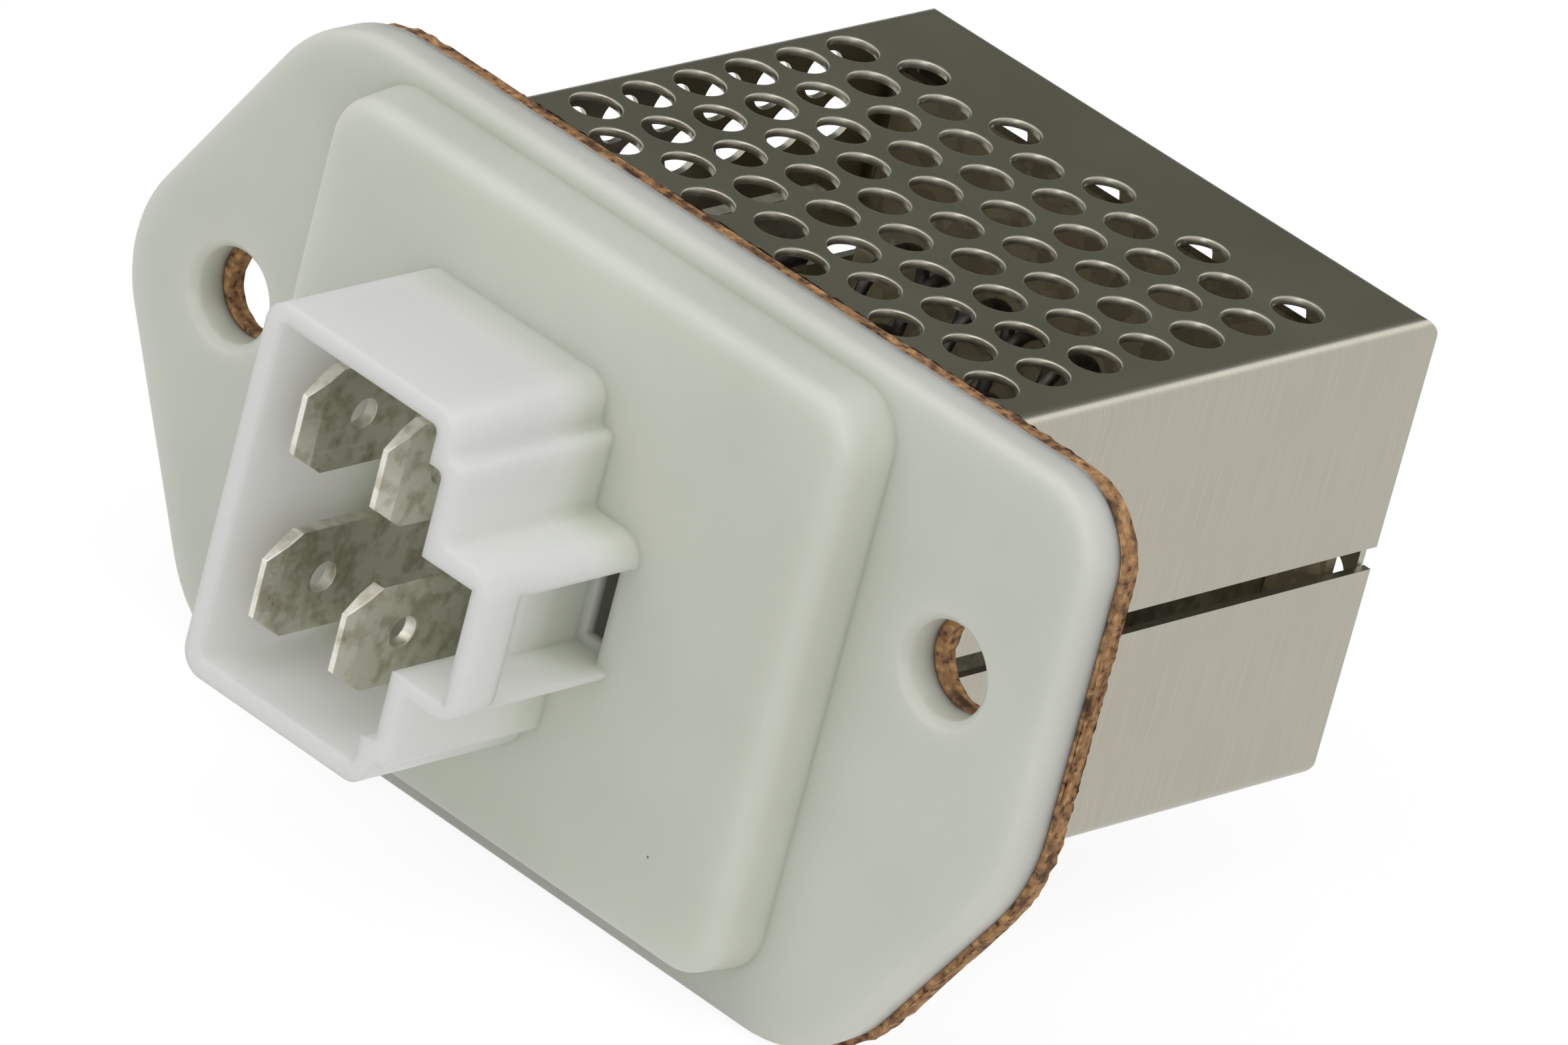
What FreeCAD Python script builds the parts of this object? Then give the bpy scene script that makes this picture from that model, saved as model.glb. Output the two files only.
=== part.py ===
import FreeCAD, Part
import math
import os
import Sketcher
from FreeCAD import Placement, Rotation, Vector

# Blower motor resistor: a nylon moulding with a four-blade connector on the front, a fibre
# gasket behind its flange, and a folded perforated cage round three resistance coils.
# X runs along the flange, Y from the connector to the cage, Z up. Each piece is drawn about
# the insert centre on the gasket's rear face, and its Placement lowers it so that the row's
# origin lies midway between the two mounting holes.

SIZES = {
    # mounting holes, left one level with the insert centre
    "hole_span": 54.0,
    "hole_rise": 5.4,
    "hole_dia": 5.5,
    "hole_rim": 0.45,
    # flange outline, its top and bottom measured beyond the pad's
    "end_radius": 7.9,
    "end_angle": 30.5,
    "flange_top": 1.2,
    "flange_bottom": 2.6,
    "flange_right": 34.7,
    "right_drop": 4.2,
    "slant_radius": 8.7,
    "square_radius": 4.8,
    "blunt_radius": 12.0,
    "plate_thick": 2.4,
    "plate_round": 0.7,
    # raised pad on the flange
    "pad_width": 40.4,
    "pad_height": 35.6,
    "pad_rise": 3.6,
    "pad_draft": 4.0,
    "pad_corner": 3.2,
    "pad_round": 1.0,
    "face_wall": 1.8,
    # connector shroud, outside
    "shroud_reach": 11.7,
    "shroud_left": 11.05,
    "shroud_right": 4.5,
    "shroud_top": 11.25,
    "shroud_bottom": 11.5,
    "shroud_wall": 1.15,
    "shroud_corner": 1.5,
    "shroud_root": 0.5,
    "key_depth": 1.05,
    "key_top": 8.65,
    "key_bottom": 9.7,
    "key_round": 0.5,
    "socket_sink": 1.1,
    # latch box on the shroud's right side
    "latch_reach": 3.9,
    "latch_top": 4.1,
    "latch_bottom": 5.05,
    "latch_roof": 1.25,
    "latch_floor": 0.9,
    "latch_bar": 2.7,
    "latch_corner": 1.6,
    "latch_guard": 5.0,
    "window_sill": 0.35,
    "core_margin": 0.6,
    # plug at the back of the moulding, inside the cage
    "plug_depth": 6.0,
    "plug_wall": 1.6,
    "block_left": 10.3,
    "block_right": 1.6,
    "block_height": 19.2,
    "block_depth": 7.4,
    "catch_width": 4.0,
    "catch_length": 2.0,
    "catch_rise": 0.75,
    # gasket
    "gasket_thick": 1.1,
    "gasket_gap": 0.35,
    "gasket_hole_dia": 5.0,
    # cage
    "cage_width": 39.6,
    "cage_height": 28.9,
    "cage_reach": 41.2,
    "sheet": 0.5,
    "fold_radius": 1.0,
    "cage_gap": 0.3,
    "seam_gap": 0.2,
    "flap_height": 14.2,
    "flap_gap": 1.4,
    "perf_dia": 3.0,
    "perf_pitch": 4.2,
    "perf_row_pitch": 4.13,
    "perf_columns": 10,
    "perf_rear_margin": 7.6,
    "perf_front_margin": 5.5,
    "perf_offset": 0.6,
    "rear_perf_offset": 0.7,
    "rear_perf_drop": 4.35,
    "left_perf_drop": 2.95,
    "left_perf_step": 3.0,
    "left_perf_margin": 6.6,
    # blade terminals
    "blade_width": 6.3,
    "blade_thick": 0.8,
    "blade_left": 7.5,
    "blade_step": 6.3,
    "blade_rise": 5.0,
    "blade_shy": 0.5,
    "blade_hole": 1.9,
    "blade_hole_back": 4.6,
    "tip_length": 2.2,
    "tip_slope": 1.4,
    "tip_coin": 0.22,
    "coin_length": 1.3,
    "slot_gap": 0.05,
    # rails and coils inside the cage
    "rail_side": 14.5,
    "rail_width": 5.0,
    "cross_back": 5.6,
    "coil_first": 15.0,
    "coil_step": 9.4,
    "coil_radius": 3.8,
    "high_wire": 1.3,
    "medium_wire": 1.0,
    "low_wire": 0.8,
    "coil_lead": 3.2,
    "weld_gap": 0.02,
    "rail_past_coil": 4.4,
    "tail_back": 9.2,
    # thermal fuse
    "tongue_width": 1.6,
    "tongue_rise": 2.1,
    "fuse_dia": 4.0,
    "fuse_length": 7.6,
    "seal_length": 1.8,
    "fuse_axis": 10.7,
    "lead_dia": 1.0,
    "lead_bend": 1.1,
    "crimp_wall": 0.4,
    "crimp_gap": 0.06,
    # mica card that holds the two long rails apart
    "card_gap": 0.6,
    "card_height": 22.0,
    "card_thick": 0.8,
    "card_back": 38.6,
}

HIGH_TURNS = 5
MEDIUM_TURNS = 6.5
LOW_TURNS = 8
SIDES_PER_TURN = 10
PERF_SIDES = 6
LEAD_STEPS = 4

doc = FreeCAD.newDocument("blower_resistor")
sheet = doc.addObject("Spreadsheet::Sheet", "Sizes")
for row, (alias, value) in enumerate(SIZES.items(), start=1):
    sheet.set(f"A{row}", alias)
    sheet.set(f"B{row}", str(value))
    sheet.setAlias(f"B{row}", alias)
doc.recompute()


def size(alias):
    """A driving dimension, as the sheet holds it."""
    return float(sheet.get(alias))


# Heights along Y that several pieces share, as formulas for the sheet's cells.
PLATE_BACK = "-Sizes.gasket_thick"
PLATE_FRONT = "(-Sizes.gasket_thick - Sizes.plate_thick)"
PAD_FACE = f"({PLATE_FRONT} - Sizes.pad_rise)"
SHROUD_FRONT = f"({PAD_FACE} - Sizes.shroud_reach)"
SOCKET_FLOOR = f"({PAD_FACE} + Sizes.socket_sink)"
PLUG_BACK = f"({PLATE_BACK} + Sizes.plug_depth)"
BLADE_TIP = f"({SHROUD_FRONT} + Sizes.blade_shy)"
BLOCK_FRONT = f"({PAD_FACE} + Sizes.face_wall)"
BLOCK_BACK = f"({BLOCK_FRONT} + Sizes.block_depth)"
LEFT_BLADES = "-Sizes.blade_left"
RIGHT_BLADES = "(Sizes.blade_step - Sizes.blade_left)"


def formula(expression):
    """The number that a formula over the sheet's cells comes to."""
    return float(FreeCAD.Units.Quantity(str(sheet.evalExpression(expression))).Value)


def new_body(label):
    """An empty body whose placement puts the insert centre in the row's frame."""
    body = doc.addObject("PartDesign::Body", label)
    body.Label = label
    body.setExpression("Placement.Base.z", "-Sizes.hole_rise / 2")
    return body


def new_sketch(body, name, role, height):
    """A sketch on one of the body's origin planes, moved along the plane's normal."""
    sketch = body.newObject("Sketcher::SketchObject", name)
    plane = [item for item in body.Origin.OriginFeatures if item.Role == role][0]
    sketch.AttachmentSupport = [(plane, "")]
    sketch.MapMode = "FlatFace"
    sketch.setExpression("AttachmentOffset.Base.z", height)
    return sketch


def draw_polygon(sketch, corners):
    """A closed outline whose corners are bound to pairs of formulas."""
    places = [Vector(formula(across), formula(up), 0) for across, up in corners]
    first = sketch.GeometryCount
    count = len(places)
    for index in range(count):
        line = Part.LineSegment(places[index], places[(index + 1) % count])
        sketch.addGeometry(line, False)
    for index in range(count):
        after = first + (index + 1) % count
        sketch.addConstraint(Sketcher.Constraint("Coincident", first + index, 2, after, 1))
    for index, (across, up) in enumerate(corners):
        bind_point(sketch, first + index, 1, across, up, places[index])


def draw_circle(sketch, across, up, radius):
    """A circle whose centre and radius are bound to formulas."""
    centre = Vector(formula(across), formula(up), 0)
    item = sketch.addGeometry(Part.Circle(centre, Vector(0, 0, 1), formula(radius)), False)
    bind_point(sketch, item, 3, across, up, centre)
    index = sketch.addConstraint(Sketcher.Constraint("Radius", item, formula(radius)))
    sketch.setExpression(f"Constraints[{index}]", radius)


def bind_point(sketch, item, end, across, up, place):
    """Two distances from the sketch's origin, one along each axis."""
    for kind, text, value in (("DistanceX", across, place.x), ("DistanceY", up, place.y)):
        index = sketch.addConstraint(Sketcher.Constraint(kind, -1, 1, item, end, value))
        sketch.setExpression(f"Constraints[{index}]", text)


def draw_rectangle(sketch, left, right, low, high):
    draw_polygon(sketch, [(left, low), (right, low), (right, high), (left, high)])


def extrude(body, kind, name, sketch, length, backwards=False, midplane=False, taper=None):
    """A pad or a pocket of a sketch, with its length bound to a formula."""
    feature = body.newObject(f"PartDesign::{kind}", name)
    feature.Profile = sketch
    feature.Reversed = backwards
    feature.Midplane = midplane
    feature.setExpression("Length", length)
    if taper:
        feature.setExpression("TaperAngle", taper)
    doc.recompute()
    return feature


def edges_where(shape, test):
    """Names of the edges whose middle point and direction pass a test."""
    names = []
    for index, edge in enumerate(shape.Edges, start=1):
        middle = edge.valueAt((edge.FirstParameter + edge.LastParameter) / 2)
        ends = [vertex.Point for vertex in edge.Vertexes]
        if test(middle, ends):
            names.append(f"Edge{index}")
    return names


def round_edges(body, name, base, radius, test, kind="Fillet"):
    """A fillet or a chamfer on the edges that pass the test."""
    names = edges_where(base.Shape, test)
    if not names:
        raise ValueError(f"{name} found no edge to round")
    feature = body.newObject(f"PartDesign::{kind}", name)
    feature.Base = (base, names)
    feature.setExpression("Radius" if kind == "Fillet" else "Size", radius)
    doc.recompute()
    return feature


def close(a, b):
    return abs(a - b) < 0.01


def along_y(ends, across, up):
    """Whether an edge runs along Y through the given place."""
    return (len(ends) == 2 and all(close(end.x, across) and close(end.z, up) for end in ends))


def all_at_y(ends, depth):
    return bool(ends) and all(close(end.y, depth) for end in ends)


# The flange's corners, anticlockwise from the left tip. The gasket is cut to the same ones.
SLOPE = "tan(Sizes.end_angle * 1deg)"
TIP = "(-Sizes.hole_span / 2 - Sizes.end_radius / cos(Sizes.end_angle * 1deg))"
TOP = "(Sizes.pad_height / 2 + Sizes.flange_top)"
BOTTOM = "(Sizes.pad_height / 2 + Sizes.flange_bottom)"
TOP_LEFT = (f"({TIP} + {TOP} * {SLOPE})", TOP)
TOP_RIGHT = ("Sizes.flange_right", TOP)
BLUNT = ("Sizes.flange_right", "-Sizes.right_drop")
LOW_RIGHT = (f"(Sizes.flange_right - ({BOTTOM} - Sizes.right_drop) * {SLOPE})",
             f"-{BOTTOM}")
LOW_LEFT = (f"({TIP} + {BOTTOM} * {SLOPE})", f"-{BOTTOM}")
FLANGE_CORNERS = [
    ((TIP, "0"), "Sizes.end_radius"),
    (LOW_LEFT, "Sizes.slant_radius"),
    (LOW_RIGHT, "Sizes.slant_radius"),
    (BLUNT, "Sizes.blunt_radius"),
    (TOP_RIGHT, "Sizes.square_radius"),
    (TOP_LEFT, "Sizes.slant_radius"),
]


def flange_plate(body, height, thickness):
    """The flange's outline with its rounded corners, as a plate towards the front."""
    sketch = new_sketch(body, "outline", "XZ_Plane", height)
    draw_polygon(sketch, [corner for corner, radius in FLANGE_CORNERS])
    plate = extrude(body, "Pad", "plate", sketch, thickness)
    for number, ((across, up), radius) in enumerate(FLANGE_CORNERS, start=1):
        place = (formula(across), formula(up))
        plate = round_edges(body, f"corner_{number}", plate, radius,
                            lambda middle, ends: along_y(ends, *place))
    return plate


def mounting_holes(body, height, depth, radius):
    """The two screw holes, the right one higher than the left."""
    sketch = new_sketch(body, "screw_holes", "XZ_Plane", height)
    draw_circle(sketch, "-Sizes.hole_span / 2", "0", radius)
    draw_circle(sketch, "Sizes.hole_span / 2", "Sizes.hole_rise", radius)
    return extrude(body, "Pocket", "screw_hole_cut", sketch, depth)


def make_base():
    """The nylon moulding: flange, raised pad, connector shroud with its latch box, and plug."""
    body = new_body("base_moulding")
    plate = flange_plate(body, "Sizes.gasket_thick", "Sizes.plate_thick")
    front = formula(PLATE_FRONT)
    plate = round_edges(body, "plate_edge", plate, "Sizes.plate_round",
                        lambda middle, ends: all_at_y(ends, front))

    # raised pad, drafted towards its face on all four sides
    face = formula(PAD_FACE)
    draft = "tan(Sizes.pad_draft * 1deg)"
    half_z = "(Sizes.pad_height / 2)"
    narrow_z = f"({half_z} - Sizes.pad_rise * {draft})"
    sketch = new_sketch(body, "pad_profile", "YZ_Plane", "0")
    draw_polygon(sketch, [(PLATE_FRONT, f"-{half_z}"), (PLATE_FRONT, half_z),
                          (PAD_FACE, narrow_z), (PAD_FACE, f"-{narrow_z}")])
    extrude(body, "Pad", "raised_pad", sketch, "Sizes.pad_width", midplane=True)
    sketch = new_sketch(body, "pad_end_cuts", "XY_Plane", f"(-{half_z} - 1)")
    for side in ("-", "+"):
        half_x = f"(0 {side} Sizes.pad_width / 2)"
        draw_polygon(sketch, [
            (half_x, PLATE_FRONT),
            (f"({half_x} {side} 1)", PLATE_FRONT),
            (f"({half_x} {side} 1)", f"({PAD_FACE} - 1)"),
            (f"({half_x} {'+' if side == '-' else '-'} (Sizes.pad_rise + 1) * {draft})",
             f"({PAD_FACE} - 1)")])
    pad = extrude(body, "Pocket", "pad_ends", sketch, f"{half_z} * 2 + 2", backwards=True)

    def pad_corner(middle, ends):
        return face < middle.y < front and len(ends) == 2 and not close(ends[0].y, ends[1].y)

    pad = round_edges(body, "pad_corners", pad, "Sizes.pad_corner", pad_corner)
    pad = round_edges(body, "pad_edge", pad, "Sizes.pad_round",
                      lambda middle, ends: all_at_y(ends, face))
    return make_plug(body, make_shroud(body, pad))


def shroud_profile(inset):
    """The shroud's section without its latch box, drawn inwards by a wall's thickness."""
    left = f"(-Sizes.shroud_left + {inset})"
    right = f"(Sizes.shroud_right - {inset})"
    narrow = f"(Sizes.shroud_right - Sizes.key_depth - {inset})"
    top = f"(Sizes.shroud_top - {inset})"
    bottom = f"(-Sizes.shroud_bottom + {inset})"
    upper = f"(Sizes.key_top - {inset} * 0.65)"
    lower = f"(-Sizes.key_bottom + {inset} * 0.95)"
    return [(left, bottom), (narrow, bottom), (narrow, lower), (right, lower),
            (right, upper), (narrow, upper), (narrow, top), (left, top)]


def make_shroud(body, pad):
    """The connector shroud, its latch box, the socket inside and the core hole behind it."""
    face, mouth = formula(PAD_FACE), formula(SHROUD_FRONT)
    sketch = new_sketch(body, "shroud_outline", "XZ_Plane", f"-{PAD_FACE}")
    outline = shroud_profile("0")
    box_right = "(Sizes.shroud_right + Sizes.latch_reach)"
    box = [("Sizes.shroud_right", "-Sizes.latch_bottom"), (box_right, "-Sizes.latch_bottom"),
           (box_right, "Sizes.latch_top"), ("Sizes.shroud_right", "Sizes.latch_top")]
    draw_polygon(sketch, outline[:4] + box + outline[4:])
    shroud = extrude(body, "Pad", "shroud", sketch, "Sizes.shroud_reach")

    def stands_at(places):
        spots = [(formula(across), formula(up)) for across, up in places]

        def test(middle, ends):
            return mouth < middle.y < face and any(along_y(ends, *spot) for spot in spots)

        return test

    main = [outline[0], outline[1], outline[6], outline[7]]
    keys = [outline[2], outline[3], outline[4], outline[5]]
    shroud = round_edges(body, "shroud_corners", shroud, "Sizes.shroud_corner", stands_at(main))
    shroud = round_edges(body, "latch_corners", shroud, "Sizes.latch_corner", stands_at(box[1:3]))
    shroud = round_edges(body, "key_corners", shroud, "Sizes.key_round",
                         stands_at(keys + [box[0], box[3]]))

    # socket, with the latch channel open to it at the mouth
    sketch = new_sketch(body, "socket_outline", "XZ_Plane", f"-{SHROUD_FRONT}")
    inner = shroud_profile("Sizes.shroud_wall")
    draw_polygon(sketch, inner)
    depth = f"Sizes.shroud_reach + Sizes.socket_sink"
    socket = extrude(body, "Pocket", "socket", sketch, depth)
    floor = formula(SOCKET_FLOOR)
    rounded = [inner[0], inner[1], inner[6], inner[7], inner[3], inner[4]]
    spots = [(formula(across), formula(up)) for across, up in rounded]

    def socket_corner(middle, ends):
        return mouth < middle.y < floor and any(along_y(ends, *spot) for spot in spots)

    socket = round_edges(body, "socket_corners", socket, "Sizes.key_round", socket_corner)

    channel_left = "(Sizes.shroud_right - Sizes.shroud_wall - 0.1)"
    channel_right = f"({box_right} - Sizes.shroud_wall)"
    channel_low = "(-Sizes.latch_bottom + Sizes.latch_floor)"
    channel_high = "(Sizes.latch_top - Sizes.latch_roof)"
    sketch = new_sketch(body, "channel_outline", "XZ_Plane", f"-{SHROUD_FRONT}")
    draw_rectangle(sketch, channel_left, channel_right, channel_low, channel_high)
    guard_depth = f"{depth} - Sizes.latch_guard"
    extrude(body, "Pocket", "latch_channel", sketch, guard_depth)
    sketch = new_sketch(body, "well_outline", "XZ_Plane", f"-{SHROUD_FRONT}")
    draw_rectangle(sketch, "Sizes.shroud_right", channel_right, channel_low, channel_high)
    extrude(body, "Pocket", "latch_well", sketch, depth)

    # window that shows the latch, and the core hole that forms it from behind
    sketch = new_sketch(body, "window_outline", "YZ_Plane", channel_right)
    draw_rectangle(sketch, f"({SHROUD_FRONT} + Sizes.latch_bar)", PAD_FACE,
                   channel_low, f"({channel_high} - Sizes.window_sill)")
    extrude(body, "Pocket", "latch_window", sketch, "Sizes.shroud_wall * 2", backwards=True)
    sketch = new_sketch(body, "core_outline", "XZ_Plane", f"-{SHROUD_FRONT}")
    draw_rectangle(sketch, "(Sizes.shroud_right + Sizes.core_margin)", channel_right,
                   f"({channel_low} + Sizes.core_margin)",
                   f"({channel_high} - Sizes.window_sill)")
    return extrude(body, "Pocket", "core_hole", sketch, f"{depth} + Sizes.face_wall")


def make_plug(body, shroud):
    """The hollow plug that carries the cage, the terminal block in it, and the catches."""
    half_x = "(Sizes.cage_width / 2 - Sizes.sheet - Sizes.cage_gap)"
    half_z = "(Sizes.cage_height / 2 - Sizes.sheet - Sizes.cage_gap)"
    sketch = new_sketch(body, "plug_outline", "XZ_Plane", "Sizes.gasket_thick")
    draw_rectangle(sketch, f"-{half_x}", half_x, f"-{half_z}", half_z)
    extrude(body, "Pad", "plug", sketch, "Sizes.plug_depth", backwards=True)

    wall_x, wall_z = f"({half_x} - Sizes.plug_wall)", f"({half_z} - Sizes.plug_wall)"
    sketch = new_sketch(body, "hollow_outline", "XZ_Plane", f"-{PLUG_BACK}")
    draw_rectangle(sketch, f"-{wall_x}", wall_x, f"-{wall_z}", wall_z)
    # the hollow ends short of the pad's face by the face wall
    extrude(body, "Pocket", "hollow", sketch, f"{PLUG_BACK} - {BLOCK_FRONT}", backwards=True)

    sketch = new_sketch(body, "block_outline", "XZ_Plane", f"-{BLOCK_FRONT}")
    draw_rectangle(sketch, "-Sizes.block_left", "Sizes.block_right",
                   "-Sizes.block_height / 2", "Sizes.block_height / 2")
    extrude(body, "Pad", "terminal_block", sketch, "Sizes.block_depth", backwards=True)
    sketch = new_sketch(body, "post_boss_outline", "XZ_Plane", f"-{BLOCK_FRONT}")
    # the post's boss stands against the plug's right wall
    draw_rectangle(sketch, "(Sizes.rail_side - 2.4)", f"({wall_x} + 0.2)",
                   "(Sizes.blade_rise - Sizes.rail_width / 2 - 1.6)",
                   "(Sizes.blade_rise + Sizes.rail_width / 2 + 1.6)")
    extrude(body, "Pad", "post_boss", sketch, "Sizes.block_depth", backwards=True)

    # slots that the terminals and the junction post are pressed through
    sketch = new_sketch(body, "slot_outlines", "XZ_Plane", f"-({SOCKET_FLOOR} - 0.01)")
    for across in (LEFT_BLADES, RIGHT_BLADES):
        for up in ("-Sizes.blade_rise", "Sizes.blade_rise"):
            slot_rectangle(sketch, across, up, "Sizes.blade_width")
    extrude(body, "Pocket", "terminal_slots", sketch, f"{BLOCK_BACK} - {SOCKET_FLOOR} + 0.1")
    sketch = new_sketch(body, "post_slot_outline", "XZ_Plane", f"-({BLOCK_FRONT} + 0.4)")
    slot_rectangle(sketch, "Sizes.rail_side", "Sizes.blade_rise", "Sizes.rail_width")
    extrude(body, "Pocket", "post_slot", sketch, f"{PLUG_BACK} - {BLOCK_FRONT}")

    # catches on the plug that snap into the cage's top and bottom
    for name, up, low in (("upper", half_z, "0"), ("lower", f"-{half_z}", "-Sizes.catch_rise")):
        sketch = new_sketch(body, f"{name}_catches", "XZ_Plane",
                            f"-({PLATE_BACK} + Sizes.catch_length)")
        for across in (-1, 1):
            middle = f"({across} * Sizes.cage_width / 4)"
            draw_rectangle(sketch, f"({middle} - Sizes.catch_width / 2)",
                           f"({middle} + Sizes.catch_width / 2)",
                           f"({up} + {low})", f"({up} + {low} + Sizes.catch_rise)")
        extrude(body, "Pad", f"{name}_catch", sketch, "Sizes.catch_length", backwards=True)

    holes = mounting_holes(body, f"-({PLATE_FRONT} - 1)", "Sizes.plate_thick + 2",
                           "Sizes.hole_dia / 2")
    front = formula(PLATE_FRONT)
    pad_half = size("pad_width") / 2
    reach = size("hole_dia") / 2 + 0.1

    def hole_rim(middle, ends):
        near = abs(abs(middle.x) - size("hole_span") / 2) < reach
        return near and abs(middle.x) > pad_half and all_at_y(ends, front)

    # the rim's chamfer stays clear of the pad's foot beside it
    beside = "(Sizes.hole_span / 2 - Sizes.hole_dia / 2 - Sizes.pad_width / 2)"
    round_edges(body, "hole_rims", holes, f"min(Sizes.hole_rim; {beside} * 0.9)", hole_rim,
                kind="Chamfer")
    return body


def slot_rectangle(sketch, across, up, width):
    """A slot for a strip on edge, with the press clearance all round."""
    half_thick = "(Sizes.blade_thick / 2 + Sizes.slot_gap)"
    half_width = f"({width} / 2 + Sizes.slot_gap)"
    draw_rectangle(sketch, f"({across} - {half_thick})", f"({across} + {half_thick})",
                   f"({up} - {half_width})", f"({up} + {half_width})")


def make_gasket():
    """The fibre gasket, die-cut to the flange's outline with an opening for the cage."""
    body = new_body("gasket")
    flange_plate(body, "0", "Sizes.gasket_thick")
    sketch = new_sketch(body, "cage_opening", "XZ_Plane", "Sizes.gasket_thick + 1")
    half_x = "(Sizes.cage_width / 2 + Sizes.gasket_gap)"
    half_z = "(Sizes.cage_height / 2 + Sizes.gasket_gap)"
    draw_rectangle(sketch, f"-{half_x}", half_x, f"-{half_z}", half_z)
    extrude(body, "Pocket", "cage_opening_cut", sketch, "Sizes.gasket_thick + 2")
    mounting_holes(body, "Sizes.gasket_thick + 1", "Sizes.gasket_thick + 2",
                   "Sizes.gasket_hole_dia / 2")
    return body


def part_box(name, low, high):
    """A box between two corners given as formulas."""
    box = doc.addObject("Part::Box", name)
    for axis, extent, start, end in zip("xyz", ("Length", "Width", "Height"), low, high):
        box.setExpression(f"Placement.Base.{axis}", start)
        box.setExpression(extent, f"{end} - {start}")
    return box


def part_cut(name, base, tools):
    cut = doc.addObject("Part::Cut", name)
    cut.Base = base
    if len(tools) > 1:
        joined = doc.addObject("Part::MultiFuse", f"{name}_tools")
        joined.Shapes = tools
        cut.Tool = joined
    else:
        cut.Tool = tools[0]
    return cut


def part_fillet(name, base, radius, test):
    doc.recompute()
    fillet = doc.addObject("Part::Fillet", name)
    fillet.Base = base
    numbers = [int(edge[4:]) for edge in edges_where(base.Shape, test)]
    fillet.Edges = [(number, radius, radius) for number in numbers]
    return fillet


def folded_box(name, inset, radius):
    """The cage's envelope, or its hollow, with the folds rounded and the rear corners square."""
    half_x = f"(Sizes.cage_width / 2 - {inset})"
    half_z = f"(Sizes.cage_height / 2 - {inset})"
    block = part_box(name, (f"-{half_x}", PLATE_BACK if inset == "0" else f"({PLATE_BACK} - 1)",
                            f"-{half_z}"),
                     (half_x, f"(Sizes.cage_reach - {inset})", half_z))
    rear = formula(f"Sizes.cage_reach - {inset}")
    width, height = formula(half_x), formula(half_z)

    def is_fold(middle, ends):
        side = close(abs(middle.x), width) and close(abs(middle.z), height)
        return side or (close(middle.y, rear) and close(abs(middle.z), height))

    return part_fillet(f"{name}_folds", block, radius, is_fold)


def perforations(face, radius, depth, centre, across, along, start, end, pitch, shift):
    """Prisms that punch one face in staggered columns, each with PERF_SIDES sides."""
    column_step = size("perf_pitch") * math.cos(math.radians(30))
    columns = int(size("perf_columns"))
    prisms = []
    rows = int((end - start) / (pitch / 2)) + 1
    for row in range(rows):
        for column in range(columns):
            if (row + column) % 2 == 0:
                continue
            side = (column - (columns - 1) / 2) * column_step + shift
            place = centre + across * side + along * (start + row * pitch / 2)
            prisms.append(punch(place, face, across, radius, depth))
    return prisms


def punch(place, normal, across, radius, depth):
    """A regular prism of the area of a round hole, standing across the sheet."""
    area_radius = radius * math.sqrt(2 * math.pi / PERF_SIDES / math.sin(2 * math.pi / PERF_SIDES))
    up = normal.cross(across)
    corners = []
    for index in range(PERF_SIDES + 1):
        angle = (index % PERF_SIDES + 0.5) * 2 * math.pi / PERF_SIDES
        spoke = across * math.cos(angle) + up * math.sin(angle)
        corners.append(place - normal * depth + spoke * area_radius)
    return Part.Face(Part.makePolygon(corners)).extrude(normal * depth * 2)


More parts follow.
